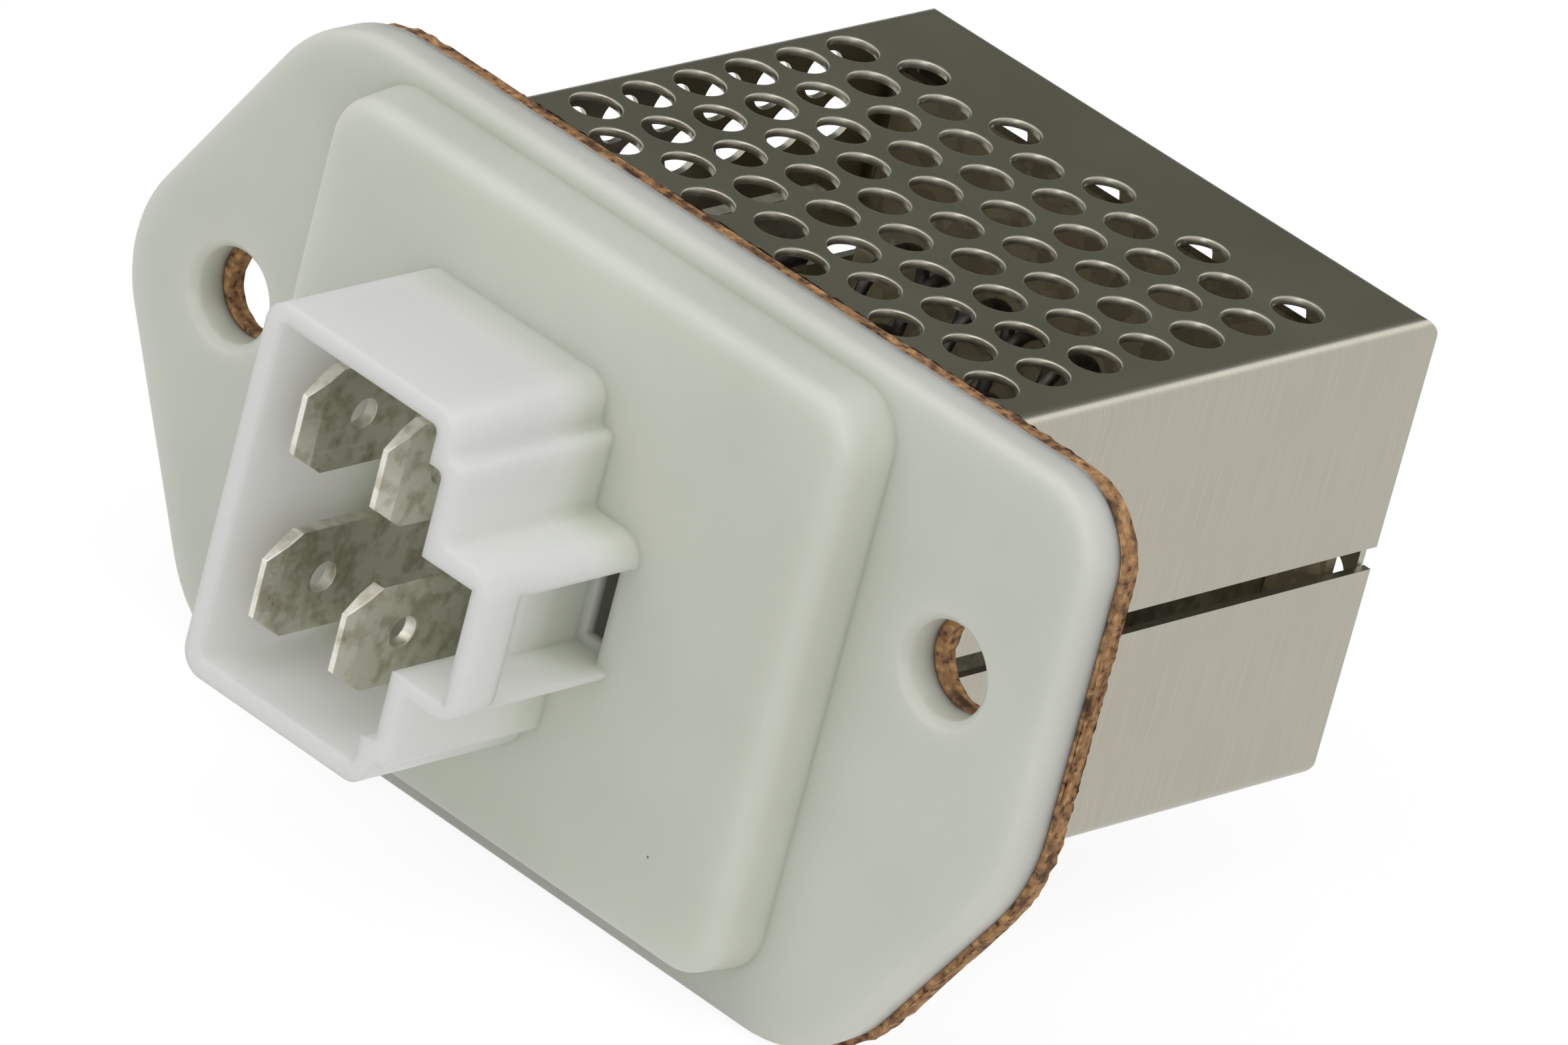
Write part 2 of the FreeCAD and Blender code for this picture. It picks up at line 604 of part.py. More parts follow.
def make_cage():
    """One perforated strip folded over the top, rear and bottom, with flaps for the sides."""
    outside = folded_box("cage_outside", "0", size("fold_radius"))
    inside = folded_box("cage_inside", "Sizes.sheet", size("fold_radius") - size("sheet"))

    # the flaps from above and below leave a gap along the middle of each side
    half_x, half_z = "(Sizes.cage_width / 2)", "(Sizes.cage_height / 2)"
    gap_top = f"({half_z} - Sizes.flap_height)"
    gap = part_box("flap_gap", (f"(-{half_x} - 1)", f"({PLATE_BACK} - 1)",
                                f"({gap_top} - Sizes.flap_gap)"),
                   (f"({half_x} + 1)", "(Sizes.cage_reach - Sizes.sheet - 0.01)", gap_top))
    cuts = [inside, gap]
    for side, name in ((-1, "left"), (1, "right")):
        # seam between the rear wall and the flaps
        near = f"({side} * ({half_x} - Sizes.sheet) - Sizes.seam_gap / 2)"
        far = f"({side} * ({half_x} - Sizes.sheet) + Sizes.seam_gap / 2)"
        cuts.append(part_box(f"{name}_seam",
                             (near, "(Sizes.cage_reach - Sizes.sheet * 2)",
                              f"(-{half_z} + Sizes.fold_radius)"),
                             (far, "(Sizes.cage_reach + 1)",
                              f"({half_z} - Sizes.fold_radius)")))
        # the rear wall stops inside the flap, and shows at the gap
        cuts.append(part_box(
            f"{name}_rear_step",
            (f"({side} * {half_x} - Sizes.sheet - Sizes.seam_gap / 2)",
             "(Sizes.cage_reach - Sizes.sheet - 0.02)", f"({gap_top} - Sizes.flap_gap)"),
            (f"({side} * {half_x} + Sizes.sheet + Sizes.seam_gap / 2)",
             "(Sizes.cage_reach + 1)", gap_top)))
        # slots that the plug's catches snap into
        middle = f"({side} * Sizes.cage_width / 4)"
        cuts.append(part_box(
            f"{name}_catch_slots",
            (f"({middle} - Sizes.catch_width / 2 - 0.2)",
             f"({PLATE_BACK} + Sizes.catch_length - 0.2)", f"(-{half_z} - 1)"),
            (f"({middle} + Sizes.catch_width / 2 + 0.2)",
             f"({PLATE_BACK} + Sizes.catch_length * 2 + 0.2)", f"({half_z} + 1)")))

    depth = size("sheet") * 3
    radius = size("perf_dia") / 2
    top = size("cage_height") / 2
    reach = size("cage_reach")
    last = reach - size("perf_rear_margin")
    pitch = size("perf_row_pitch")
    steps = int((last - size("perf_front_margin")) / (pitch / 2))
    first = last - steps * pitch / 2
    if steps % 2 == 1:
        first += pitch / 2
    prisms = []
    for level in (-1, 1):
        prisms += perforations(Vector(0, 0, 1), radius, depth, Vector(0, 0, level * top),
                               Vector(1, 0, 0), Vector(0, 1, 0), first, last + 0.01, pitch,
                               -size("perf_offset"))
    rear_first = top - size("rear_perf_drop")
    prisms += perforations(Vector(0, 1, 0), radius, depth, Vector(0, reach, 0),
                           Vector(1, 0, 0), Vector(0, 0, -1), -rear_first, top - 3,
                           size("perf_pitch"), size("rear_perf_offset"))

    # two staggered rows in each left flap, beside its fold
    side = Vector(-size("cage_width") / 2, reach - size("left_perf_margin"), 0)
    count = int((side.y - size("perf_front_margin")) / (pitch / 2))
    for level in (-1, 1):
        for step in range(count + 1):
            drop = size("left_perf_drop") + (1 - step % 2) * size("left_perf_step")
            place = side + Vector(0, -step * pitch / 2, level * (top - drop))
            prisms.append(punch(place, Vector(1, 0, 0), Vector(0, 1, 0), radius, depth))
    punches = doc.addObject("Part::Feature", "punches")
    punches.Shape = Part.makeCompound(prisms)
    cuts.append(punches)

    shell = part_cut("cage_shell", outside, cuts[:1])
    opened = part_cut("cage_opened", shell, cuts[1:-1])
    cage = part_cut("cage", opened, cuts[-1:])
    cage.Label = "cage"
    cage.setExpression("Placement.Base.z", "-Sizes.hole_rise / 2")
    return cage


def make_terminal(label, across, up, rail, rail_back):
    """A blade with its coined tip, and the rail it runs into behind the moulding."""
    body = new_body(label)
    half = "(Sizes.blade_width / 2)"
    low, high = f"({up} - {half})", f"({up} + {half})"
    sketch = new_sketch(body, "blade_outline", "YZ_Plane", across)
    draw_polygon(sketch, [
        (BLADE_TIP, f"({low} + Sizes.tip_slope)"),
        (f"({BLADE_TIP} + Sizes.tip_length)", low),
        (BLOCK_BACK, low),
        (BLOCK_BACK, high),
        (f"({BLADE_TIP} + Sizes.tip_length)", high),
        (BLADE_TIP, f"({high} - Sizes.tip_slope)"),
    ])
    blade = extrude(body, "Pad", "blade", sketch, "Sizes.blade_thick", midplane=True)

    # both sides of the tip are coined to a wedge
    coined_back = f"({BLADE_TIP} + Sizes.coin_length)"
    sketch = new_sketch(body, "coin_outlines", "XY_Plane", f"({low} - 1)")
    for side in ("-", "+"):
        face = f"({across} {side} Sizes.blade_thick / 2)"
        ground = f"({across} {side} (Sizes.blade_thick / 2 - Sizes.tip_coin))"
        corners = [(ground, BLADE_TIP), (face, coined_back),
                   (f"({face} {side} 0.5)", coined_back), (f"({face} {side} 0.5)", f"({BLADE_TIP} - 1)"),
                   (ground, f"({BLADE_TIP} - 1)")]
        draw_polygon(sketch, corners)
    extrude(body, "Pocket", "coined_tip", sketch, "Sizes.blade_width + 2", backwards=True)

    sketch = new_sketch(body, "test_hole", "YZ_Plane", across)
    draw_circle(sketch, f"({BLADE_TIP} + Sizes.blade_hole_back)", up, "Sizes.blade_hole / 2")
    extrude(body, "Pocket", "test_hole_cut", sketch, "Sizes.blade_thick * 3", midplane=True)

    rail_low = f"({up} - Sizes.rail_width / 2)"
    thick = "(Sizes.blade_thick / 2)"
    if rail == across:
        sketch = new_sketch(body, "tail_outline", "YZ_Plane", across)
        draw_polygon(sketch, tongue_profile(f"({BLOCK_BACK} - 0.5)", up, rail_back))
        extrude(body, "Pad", "tail", sketch, "Sizes.blade_thick", midplane=True)
        return body
    # the strip turns outwards behind the block, then back along the cage's side
    side = 1 if formula(rail) < formula(across) else -1
    inner, outer = f"+ {side} * {thick}", f"- {side} * {thick}"
    cross_far = "(Sizes.cross_back + Sizes.blade_thick)"
    sketch = new_sketch(body, "rail_outline", "XY_Plane", rail_low)
    draw_polygon(sketch, [
        (f"({across} {inner})", f"({BLOCK_BACK} - 0.5)"),
        (f"({across} {inner})", cross_far),
        (f"({rail} {inner})", cross_far),
        (f"({rail} {inner})", rail_back),
        (f"({rail} {outer})", rail_back),
        (f"({rail} {outer})", "Sizes.cross_back"),
        (f"({across} {outer})", "Sizes.cross_back"),
        (f"({across} {outer})", f"({BLOCK_BACK} - 0.5)"),
    ])
    extrude(body, "Pad", "rail", sketch, "Sizes.rail_width")
    return body


def tongue_profile(front, up, back):
    """A strip on edge with a narrow tongue standing up near its rear end."""
    low, high = f"({up} - Sizes.rail_width / 2)", f"({up} + Sizes.rail_width / 2)"
    tongue_back = "Sizes.tail_back"
    tongue_front = "(Sizes.tail_back - Sizes.tongue_width)"
    tongue_top = f"({high} + Sizes.tongue_rise)"
    if back == tongue_back:
        return [(front, low), (back, low), (back, tongue_top), (tongue_front, tongue_top),
                (tongue_front, high), (front, high)]
    return [(front, low), (back, low), (back, high), (tongue_back, high),
            (tongue_back, tongue_top), (tongue_front, tongue_top),
            (tongue_front, high), (front, high)]


def coil_place(number):
    return f"(Sizes.coil_first + {number} * Sizes.coil_step)"


def make_junction_post():
    """The short rail, pressed into its own boss, where the fuse meets the first coil."""
    body = new_body("junction_post")
    sketch = new_sketch(body, "post_outline", "YZ_Plane", "Sizes.rail_side")
    back = f"({coil_place(0)} + Sizes.rail_past_coil)"
    draw_polygon(sketch, tongue_profile(f"({BLOCK_FRONT} + 0.45)", "Sizes.blade_rise", back))
    extrude(body, "Pad", "post", sketch, "Sizes.blade_thick", midplane=True)
    return body


def wire_along(points, wire_radius, sides):
    """A round wire drawn with few sides, along straight runs between the points."""
    path = Part.makePolygon(points)
    heading = (points[1] - points[0]).normalize()
    normal = heading.cross(Vector(0, 0, 1) if abs(heading.z) < 0.9 else Vector(1, 0, 0))
    normal.normalize()
    other = heading.cross(normal)
    ring = []
    for index in range(sides + 1):
        angle = (index % sides) * 2 * math.pi / sides
        ring.append(points[0] + (normal * math.cos(angle) + other * math.sin(angle)) * wire_radius)
    return path.makePipeShell([Part.makePolygon(ring)], True, False, 1)


def make_coil(label, number, wire, turns, start_high):
    """A resistance coil strung between two rails, with its ends laid on their faces."""
    wire_radius = size(wire) / 2
    radius = size("coil_radius")
    back = formula(coil_place(number))
    end_x = size("rail_side") - size("blade_thick") / 2 - size("weld_gap") - wire_radius
    start_angle = math.pi / 2 if start_high else -math.pi / 2
    steps = int(round(turns * SIDES_PER_TURN))
    points = []
    for step in range(steps + 1):
        angle = start_angle + 2 * math.pi * step / SIDES_PER_TURN
        place = Vector(-end_x + 2 * end_x * step / steps,
                       back + radius * math.cos(angle), radius * math.sin(angle))
        points.append(place)
    lead = size("coil_lead")
    first_way = 1 if start_high else -1
    end_high = (turns == int(turns)) == start_high
    last_way = -1 if end_high else 1
    points.insert(0, points[0] + Vector(0, first_way * lead, 0))
    points.append(points[-1] + Vector(0, last_way * lead, 0))
    coil = doc.addObject("Part::Feature", label)
    coil.Label = label
    coil.Shape = wire_along(points, wire_radius, 6)
    coil.Placement = Placement(Vector(0, 0, -size("hole_rise") / 2), Rotation())
    return coil


def fuse_depth():
    """The fuse, its leads and its crimps share the middle of the two tongues."""
    return "(Sizes.tail_back - Sizes.tongue_width / 2)"


def make_fuse():
    """The thermal fuse: a metal can, its sealing bead, and one bent lead at each end."""
    left = f"({RIGHT_BLADES} + Sizes.blade_thick / 2 + Sizes.crimp_gap + Sizes.lead_dia / 2)"
    right = "(Sizes.rail_side - Sizes.blade_thick / 2 - Sizes.crimp_gap - Sizes.lead_dia / 2)"
    middle = f"(({left} + {right}) / 2)"
    can_left = f"({middle} - (Sizes.fuse_length + Sizes.seal_length) / 2)"
    seal_left = f"({can_left} + Sizes.fuse_length)"
    seal_right = f"({seal_left} + Sizes.seal_length)"

    body = new_body("fuse_can")
    sketch = new_sketch(body, "can_section", "YZ_Plane", can_left)
    draw_circle(sketch, fuse_depth(), "Sizes.fuse_axis", "Sizes.fuse_dia / 2")
    can = extrude(body, "Pad", "can", sketch, "Sizes.fuse_length")
    round_edges(body, "can_edge", can, "Sizes.fuse_dia / 8",
                lambda place, ends: bool(ends) and close(ends[0].x, formula(can_left)),
                kind="Chamfer")

    body = new_body("fuse_seal")
    sketch = new_sketch(body, "seal_section", "YZ_Plane", seal_left)
    draw_circle(sketch, fuse_depth(), "Sizes.fuse_axis", "Sizes.fuse_dia * 0.45")
    extrude(body, "Pad", "seal", sketch, "Sizes.seal_length", taper="-25")

    rail_top = "(Sizes.blade_rise + Sizes.rail_width / 2)"
    foot = formula(f"{rail_top} + 0.1")
    for label, side, can_end in (("fuse_lead_left", left, can_left),
                                 ("fuse_lead_right", right, seal_right)):
        lead_x, end_x = formula(side), formula(can_end)
        axis, depth = size("fuse_axis"), formula(fuse_depth())
        # the bend fits between the lead's upright and the can, and above the crimp
        bend = min(size("lead_bend"), abs(end_x - lead_x) * 0.95)
        way = 1 if end_x > lead_x else -1
        points = [Vector(lead_x, depth, foot)]
        for step in range(LEAD_STEPS + 1):
            angle = math.pi / 2 * step / LEAD_STEPS
            points.append(Vector(lead_x + way * bend * (1 - math.cos(angle)), depth,
                                 axis - bend * (1 - math.sin(angle))))
        points.append(Vector(end_x, depth, axis))
        lead = doc.addObject("Part::Feature", label)
        lead.Label = label
        lead.Shape = wire_along(points, size("lead_dia") / 2, 8)
        lead.Placement = Placement(Vector(0, 0, -size("hole_rise") / 2), Rotation())

    # a crimp band round each lead and the tongue beside it
    for label, tongue, side in (("crimp_left", RIGHT_BLADES, 1), ("crimp_right",
                                                                  "Sizes.rail_side", -1)):
        flat = f"({tongue} - {side} * (Sizes.blade_thick / 2 + Sizes.crimp_gap))"
        lead_far = (f"({tongue} + {side} * (Sizes.blade_thick / 2 + Sizes.crimp_gap * 2"
                    " + Sizes.lead_dia))")
        inner_x = sorted((flat, lead_far), key=formula)
        half_y = "(Sizes.tongue_width / 2 + Sizes.crimp_gap)"
        body = new_body(label)
        sketch = new_sketch(body, "band_outline", "XY_Plane", f"({rail_top} + 0.15)")
        draw_rectangle(sketch, f"({inner_x[0]} - Sizes.crimp_wall)",
                       f"({inner_x[1]} + Sizes.crimp_wall)",
                       f"({fuse_depth()} - {half_y} - Sizes.crimp_wall)",
                       f"({fuse_depth()} + {half_y} + Sizes.crimp_wall)")
        draw_rectangle(sketch, inner_x[0], inner_x[1], f"({fuse_depth()} - {half_y})",
                       f"({fuse_depth()} + {half_y})")
        extrude(body, "Pad", "band", sketch, "(Sizes.tongue_rise - 0.35)")


def make_mica_card():
    """The card at the rear, slotted for the tips of the two long rails."""
    body = new_body("mica_card")
    sketch = new_sketch(body, "card_outline", "XZ_Plane", "-Sizes.card_back")
    card_side = "(Sizes.cage_width / 2 - Sizes.sheet - Sizes.card_gap)"
    draw_rectangle(sketch, f"-{card_side}", card_side,
                   "-Sizes.card_height / 2", "Sizes.card_height / 2")
    extrude(body, "Pad", "card", sketch, "Sizes.card_thick", backwards=True)
    sketch = new_sketch(body, "rail_slots", "XZ_Plane", "-(Sizes.card_back - 1)")
    for across in ("-Sizes.rail_side", "Sizes.rail_side"):
        slot_rectangle(sketch, across, "-Sizes.blade_rise", "Sizes.rail_width")
    extrude(body, "Pocket", "rail_slot_cut", sketch, "Sizes.card_thick + 2")


make_base()
make_gasket()
make_cage()
LONG_RAIL = "(Sizes.card_back + Sizes.card_thick + 0.2)"
SECOND_RAIL = f"({coil_place(1)} + Sizes.rail_past_coil)"
make_terminal("terminal_upper_left", LEFT_BLADES, "Sizes.blade_rise", "-Sizes.rail_side",
              SECOND_RAIL)
make_terminal("terminal_upper_right", RIGHT_BLADES, "Sizes.blade_rise", RIGHT_BLADES,
              "Sizes.tail_back")
make_terminal("terminal_lower_left", LEFT_BLADES, "-Sizes.blade_rise", "-Sizes.rail_side",
              LONG_RAIL)
make_terminal("terminal_lower_right", RIGHT_BLADES, "-Sizes.blade_rise", "Sizes.rail_side",
              LONG_RAIL)
make_junction_post()
make_coil("coil_high", 0, "high_wire", HIGH_TURNS, True)
make_coil("coil_medium", 1, "medium_wire", MEDIUM_TURNS, True)
make_coil("coil_low", 2, "low_wire", LOW_TURNS, False)
make_fuse()
make_mica_card()
doc.recompute()

NODES = ["base_moulding", "gasket", "cage", "terminal_upper_left", "terminal_upper_right",
         "terminal_lower_left", "terminal_lower_right", "junction_post", "coil_high",
         "coil_medium", "coil_low", "fuse_can", "fuse_seal", "fuse_lead_left",
         "fuse_lead_right", "crimp_left", "crimp_right", "mica_card"]

broken = [item.Name for item in doc.Objects
          if "Invalid" in item.State or "Error" in item.State]
if broken:
    raise ValueError(f"these objects did not compute: {broken}")
for node in NODES:
    shape = doc.getObjectsByLabel(node)[0].Shape
    if shape.isNull() or not shape.isValid():
        raise ValueError(f"{node} has no valid shape")

os.makedirs("parts", exist_ok=True)
for node in NODES:
    piece = doc.getObjectsByLabel(node)[0]
    piece.Shape.exportStep(f"parts/{node}.step")
    box = piece.Shape.BoundBox
    print(f"{node}: {len(piece.Shape.Solids)} solid, {piece.Shape.Volume:.1f} mm3, "
          f"{box.XLength:.1f} x {box.YLength:.1f} x {box.ZLength:.1f} mm")
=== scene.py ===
# Blower motor resistor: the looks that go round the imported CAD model.
# Metres, in the CAD's frame: X along the flange, Y towards the cage's closed end, Z up.
import bpy
import bmesh
import math
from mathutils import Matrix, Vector, noise
from mathutils.geometry import delaunay_2d_cdt


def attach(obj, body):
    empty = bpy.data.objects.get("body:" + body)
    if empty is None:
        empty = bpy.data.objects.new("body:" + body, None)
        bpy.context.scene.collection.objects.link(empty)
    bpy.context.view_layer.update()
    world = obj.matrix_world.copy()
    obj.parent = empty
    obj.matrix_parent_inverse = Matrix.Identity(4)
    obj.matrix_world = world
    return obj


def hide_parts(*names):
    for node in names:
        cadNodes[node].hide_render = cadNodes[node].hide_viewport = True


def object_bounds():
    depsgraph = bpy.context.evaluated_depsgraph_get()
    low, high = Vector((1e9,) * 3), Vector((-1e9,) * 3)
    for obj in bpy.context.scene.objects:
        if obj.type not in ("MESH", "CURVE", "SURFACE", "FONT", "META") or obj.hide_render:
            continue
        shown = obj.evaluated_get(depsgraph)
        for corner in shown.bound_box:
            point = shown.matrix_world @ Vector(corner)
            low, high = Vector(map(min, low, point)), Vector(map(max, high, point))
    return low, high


mm = 0.001
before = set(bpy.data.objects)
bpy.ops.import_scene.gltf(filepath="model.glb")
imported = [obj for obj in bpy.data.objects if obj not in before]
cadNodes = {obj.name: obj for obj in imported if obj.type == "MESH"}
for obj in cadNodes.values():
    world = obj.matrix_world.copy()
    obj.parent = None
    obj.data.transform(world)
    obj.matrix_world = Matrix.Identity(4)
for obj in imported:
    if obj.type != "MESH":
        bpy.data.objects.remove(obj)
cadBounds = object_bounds()
print("frame loaded with", len(cadNodes), "nodes")

# The connector, pad and cage share one axis, half the screw holes' rise below the origin.
insertZ = -2.7


# Colours and nodes

def toLinear(hexText):
    values = []
    for start in (0, 2, 4):
        share = int(hexText[start:start + 2], 16) / 255
        values.append(share / 12.92 if share <= 0.04045 else ((share + 0.055) / 1.055) ** 2.4)
    return (*values, 1.0)


def addNode(material, kind, settings=None, links=None):
    # settings hold properties, or inputs by name or number; links join inputs to outputs
    node = material.node_tree.nodes.new(kind)
    for name, value in (settings or {}).items():
        if name in node.bl_rna.properties.keys():
            setattr(node, name, value)
        else:
            node.inputs[name].default_value = toLinear(value) if isinstance(value, str) else value
    for name, socket in (links or {}).items():
        material.node_tree.links.new(socket, node.inputs[name])
    return node


def newMaterial(name):
    material = bpy.data.materials.new(name)
    material.use_nodes = True
    material.node_tree.nodes.clear()
    return material


# Natural polyamide 66, injection moulded without pigment: greenish grey-white, semi-matt, and
# milky, because light goes a few millimetres into it and comes out round every edge. The shroud
# is painted paler than the plate and pad, a painted glow for the light its thin walls let
# through.
naturalNylon = {
    "body": "DFE2D8", "cloud": "D9DCD1", "paintedGlow": "FAFDF4", "speck": "4A4338",
    "plateY": -8.3, "shroudY": -11.0, "roughness": 0.4, "depthMm": 3.0,
    "cloudMm": 14.0, "speckCellMm": 5.5, "speckMm": 0.12, "skinMm": 0.35, "skinDepthMm": 0.005,
    "edgeMm": 0.4,
}


def makeNaturalNylon(look):
    material = newMaterial("naturalNylon")
    place = addNode(material, "ShaderNodeTexCoord").outputs["Object"]
    cloud = addNode(material, "ShaderNodeTexNoise", {"Scale": 1000 / look["cloudMm"]},
                    {"Vector": place})
    share = addNode(material, "ShaderNodeMapRange", {"From Min": 0.35, "From Max": 0.65},
                    {"Value": cloud.outputs["Fac"]})
    body = addNode(material, "ShaderNodeMix",
                   {"data_type": "RGBA", 6: look["body"], 7: look["cloud"]},
                   {0: share.outputs[0]})
    forward = addNode(material, "ShaderNodeSeparateXYZ", None, {"Vector": place})
    # painted glow: the colour turns paler from the plate towards the shroud, standing in for
    # light through the thin walls
    paintedGlow = addNode(material, "ShaderNodeMapRange",
                   {"From Min": look["plateY"] * mm, "From Max": look["shroudY"] * mm},
                   {"Value": forward.outputs["Y"]})
    body = addNode(material, "ShaderNodeMix", {"data_type": "RGBA", 7: look["paintedGlow"]},
                   {0: paintedGlow.outputs[0], 6: body.outputs[2]})
    # burnt specks in the granulate, a few on each face
    cells = addNode(material, "ShaderNodeTexVoronoi", {"Scale": 1000 / look["speckCellMm"]},
                    {"Vector": place})
    limit = look["speckMm"] / look["speckCellMm"]
    near = addNode(material, "ShaderNodeMapRange", {"From Min": limit, "From Max": limit * 0.5},
                   {"Value": cells.outputs["Distance"]})
    body = addNode(material, "ShaderNodeMix", {"data_type": "RGBA", 7: look["speck"]},
                   {0: near.outputs[0], 6: body.outputs[2]})
    skin = addNode(material, "ShaderNodeTexNoise",
                   {"Scale": 1000 / look["skinMm"], "Detail": 3.0}, {"Vector": place})
    edge = addNode(material, "ShaderNodeBevel", {"samples": 6, "Radius": look["edgeMm"] * mm})
    bump = addNode(material, "ShaderNodeBump",
                   {"Strength": 0.35, "Distance": look["skinDepthMm"] * mm},
                   {"Height": skin.outputs["Fac"], "Normal": edge.outputs[0]})
    shader = addNode(material, "ShaderNodeBsdfPrincipled", {
        "Roughness": look["roughness"], "IOR": 1.53, "Subsurface Weight": 1.0,
        "Subsurface Radius": (1.0, 1.0, 0.94), "Subsurface Scale": look["depthMm"] * mm,
    }, {"Base Color": body.outputs[2], "Normal": bump.outputs[0]})
    addNode(material, "ShaderNodeOutputMaterial", None, {"Surface": shader.outputs[0]})
    return material


# Pressed vegetable fibre sheet, die cut: ochre brown, made of orange and near-black flecks.
fibreSheet = {
    "body": "A97F58", "pale": "D2A672", "dark": "543A2A", "roughness": 0.9,
    "fleckMm": 0.5, "matMm": 1.3,
}


def makeFibreSheet(look):
    material = newMaterial("pressedFibre")
    place = addNode(material, "ShaderNodeTexCoord").outputs["Object"]
    fleck = addNode(material, "ShaderNodeTexNoise",
                    {"Scale": 1000 / look["fleckMm"], "Detail": 4.0}, {"Vector": place})
    mat = addNode(material, "ShaderNodeTexNoise",
                  {"Scale": 1000 / look["matMm"], "Detail": 3.0}, {"Vector": place})
    bright = addNode(material, "ShaderNodeMapRange", {"From Min": 0.52, "From Max": 0.66},
                     {"Value": fleck.outputs["Fac"]})
    body = addNode(material, "ShaderNodeMix",
                   {"data_type": "RGBA", 6: look["body"], 7: look["pale"]},
                   {0: bright.outputs[0]})
    for value, low, high in ((fleck, 0.46, 0.34), (mat, 0.52, 0.68)):
        deep = addNode(material, "ShaderNodeMapRange", {"From Min": low, "From Max": high},
                       {"Value": value.outputs["Fac"]})
        body = addNode(material, "ShaderNodeMix", {"data_type": "RGBA", 7: look["dark"]},
                       {0: deep.outputs[0], 6: body.outputs[2]})
    bump = addNode(material, "ShaderNodeBump", {"Strength": 0.9, "Distance": 0.08 * mm},
                   {"Height": fleck.outputs["Fac"]})
    shader = addNode(material, "ShaderNodeBsdfPrincipled",
                     {"Roughness": look["roughness"], "IOR": 1.5},
                     {"Base Color": body.outputs[2], "Normal": bump.outputs[0]})
    addNode(material, "ShaderNodeOutputMaterial", None, {"Surface": shader.outputs[0]})
    return material


# Ferritic stainless strip, cold rolled with a 2B finish: warm grey and half matt, with a grain
# so fine that it only just shows as faint lines across the strip.
rolledStainless = {
    "body": "ABA89A", "worn": "B3B0A3", "roughness": 0.3, "grainMm": 0.14, "grainRun": 40.0,
    "patchMm": 11.0,
}


def makeRolledStainless(look):
    material = newMaterial("rolledStainless")
    flat = addNode(material, "ShaderNodeUVMap", {"uv_map": "flat"}).outputs["UV"]
    along = addNode(material, "ShaderNodeMapping", {"Scale": (1.0 / look["grainRun"], 1.0, 1.0)},
                    {"Vector": flat})
    grain = addNode(material, "ShaderNodeTexNoise",
                    {"Scale": 1000 / look["grainMm"], "Detail": 3.0},
                    {"Vector": along.outputs[0]})
    patch = addNode(material, "ShaderNodeTexNoise", {"Scale": 1000 / look["patchMm"]},
                    {"Vector": flat})
    share = addNode(material, "ShaderNodeMapRange", {"From Min": 0.3, "From Max": 0.7},
                    {"Value": grain.outputs["Fac"]})
    body = addNode(material, "ShaderNodeMix",
                   {"data_type": "RGBA", 6: look["body"], 7: look["worn"]},
                   {0: share.outputs[0]})
    rough = addNode(material, "ShaderNodeMapRange",
                    {"From Min": 0.3, "From Max": 0.7, "To Min": look["roughness"] - 0.03,
                     "To Max": look["roughness"] + 0.05}, {"Value": patch.outputs["Fac"]})
    bump = addNode(material, "ShaderNodeBump", {"Strength": 0.3, "Distance": 0.002 * mm},
                   {"Height": grain.outputs["Fac"]})
    shader = addNode(material, "ShaderNodeBsdfPrincipled", {"Metallic": 1.0},
                     {"Base Color": body.outputs[2], "Roughness": rough.outputs[0],
                      "Normal": bump.outputs[0]})
    addNode(material, "ShaderNodeOutputMaterial", None, {"Surface": shader.outputs[0]})
    return material


# Brass strip with a dull tin plate, blanked and coined: warm pale grey, scratched across by
# the tool, and browned in patches where the plate has tarnished.
tinnedBrass = {
    "plate": "E6E4DA", "tarnish": "C6C1B0", "stain": "8A7A60", "roughness": 0.36,
    "patchMm": 1.1, "scratchMm": 0.09, "scratchRun": 14.0, "fineMm": 0.3, "edgeMm": 0.12,
}


def makeTinnedBrass(look):
    material = newMaterial("tinnedBrass")
    place = addNode(material, "ShaderNodeTexCoord").outputs["Object"]
    patch = addNode(material, "ShaderNodeTexNoise",
                    {"Scale": 1000 / look["patchMm"], "Detail": 5.0}, {"Vector": place})
    fine = addNode(material, "ShaderNodeTexNoise", {"Scale": 1000 / look["fineMm"]},
                   {"Vector": place})
    across = addNode(material, "ShaderNodeMapping",
                     {"Scale": (1.0, 1.0 / look["scratchRun"], 1.0)}, {"Vector": place})
    scratch = addNode(material, "ShaderNodeTexNoise", {"Scale": 1000 / look["scratchMm"]},
                      {"Vector": across.outputs[0]})
    dull = addNode(material, "ShaderNodeMapRange", {"From Min": 0.46, "From Max": 0.64},
                   {"Value": patch.outputs["Fac"]})
    body = addNode(material, "ShaderNodeMix",
                   {"data_type": "RGBA", 6: look["plate"], 7: look["tarnish"]},
                   {0: dull.outputs[0]})
    brown = addNode(material, "ShaderNodeMapRange", {"From Min": 0.68, "From Max": 0.78},
                    {"Value": patch.outputs["Fac"]})
    body = addNode(material, "ShaderNodeMix", {"data_type": "RGBA", 7: look["stain"]},
                   {0: brown.outputs[0], 6: body.outputs[2]})
    rough = addNode(material, "ShaderNodeMapRange",
                    {"From Min": 0.35, "From Max": 0.65, "To Min": look["roughness"] - 0.06,
                     "To Max": look["roughness"] + 0.1}, {"Value": fine.outputs["Fac"]})
    edge = addNode(material, "ShaderNodeBevel", {"samples": 6, "Radius": look["edgeMm"] * mm})
    bump = addNode(material, "ShaderNodeBump", {"Strength": 0.5, "Distance": 0.01 * mm},
                   {"Height": scratch.outputs["Fac"], "Normal": edge.outputs[0]})
    shader = addNode(material, "ShaderNodeBsdfPrincipled", {"Metallic": 1.0},
                     {"Base Color": body.outputs[2], "Roughness": rough.outputs[0],
                      "Normal": bump.outputs[0]})
    addNode(material, "ShaderNodeOutputMaterial", None, {"Surface": shader.outputs[0]})
    return material


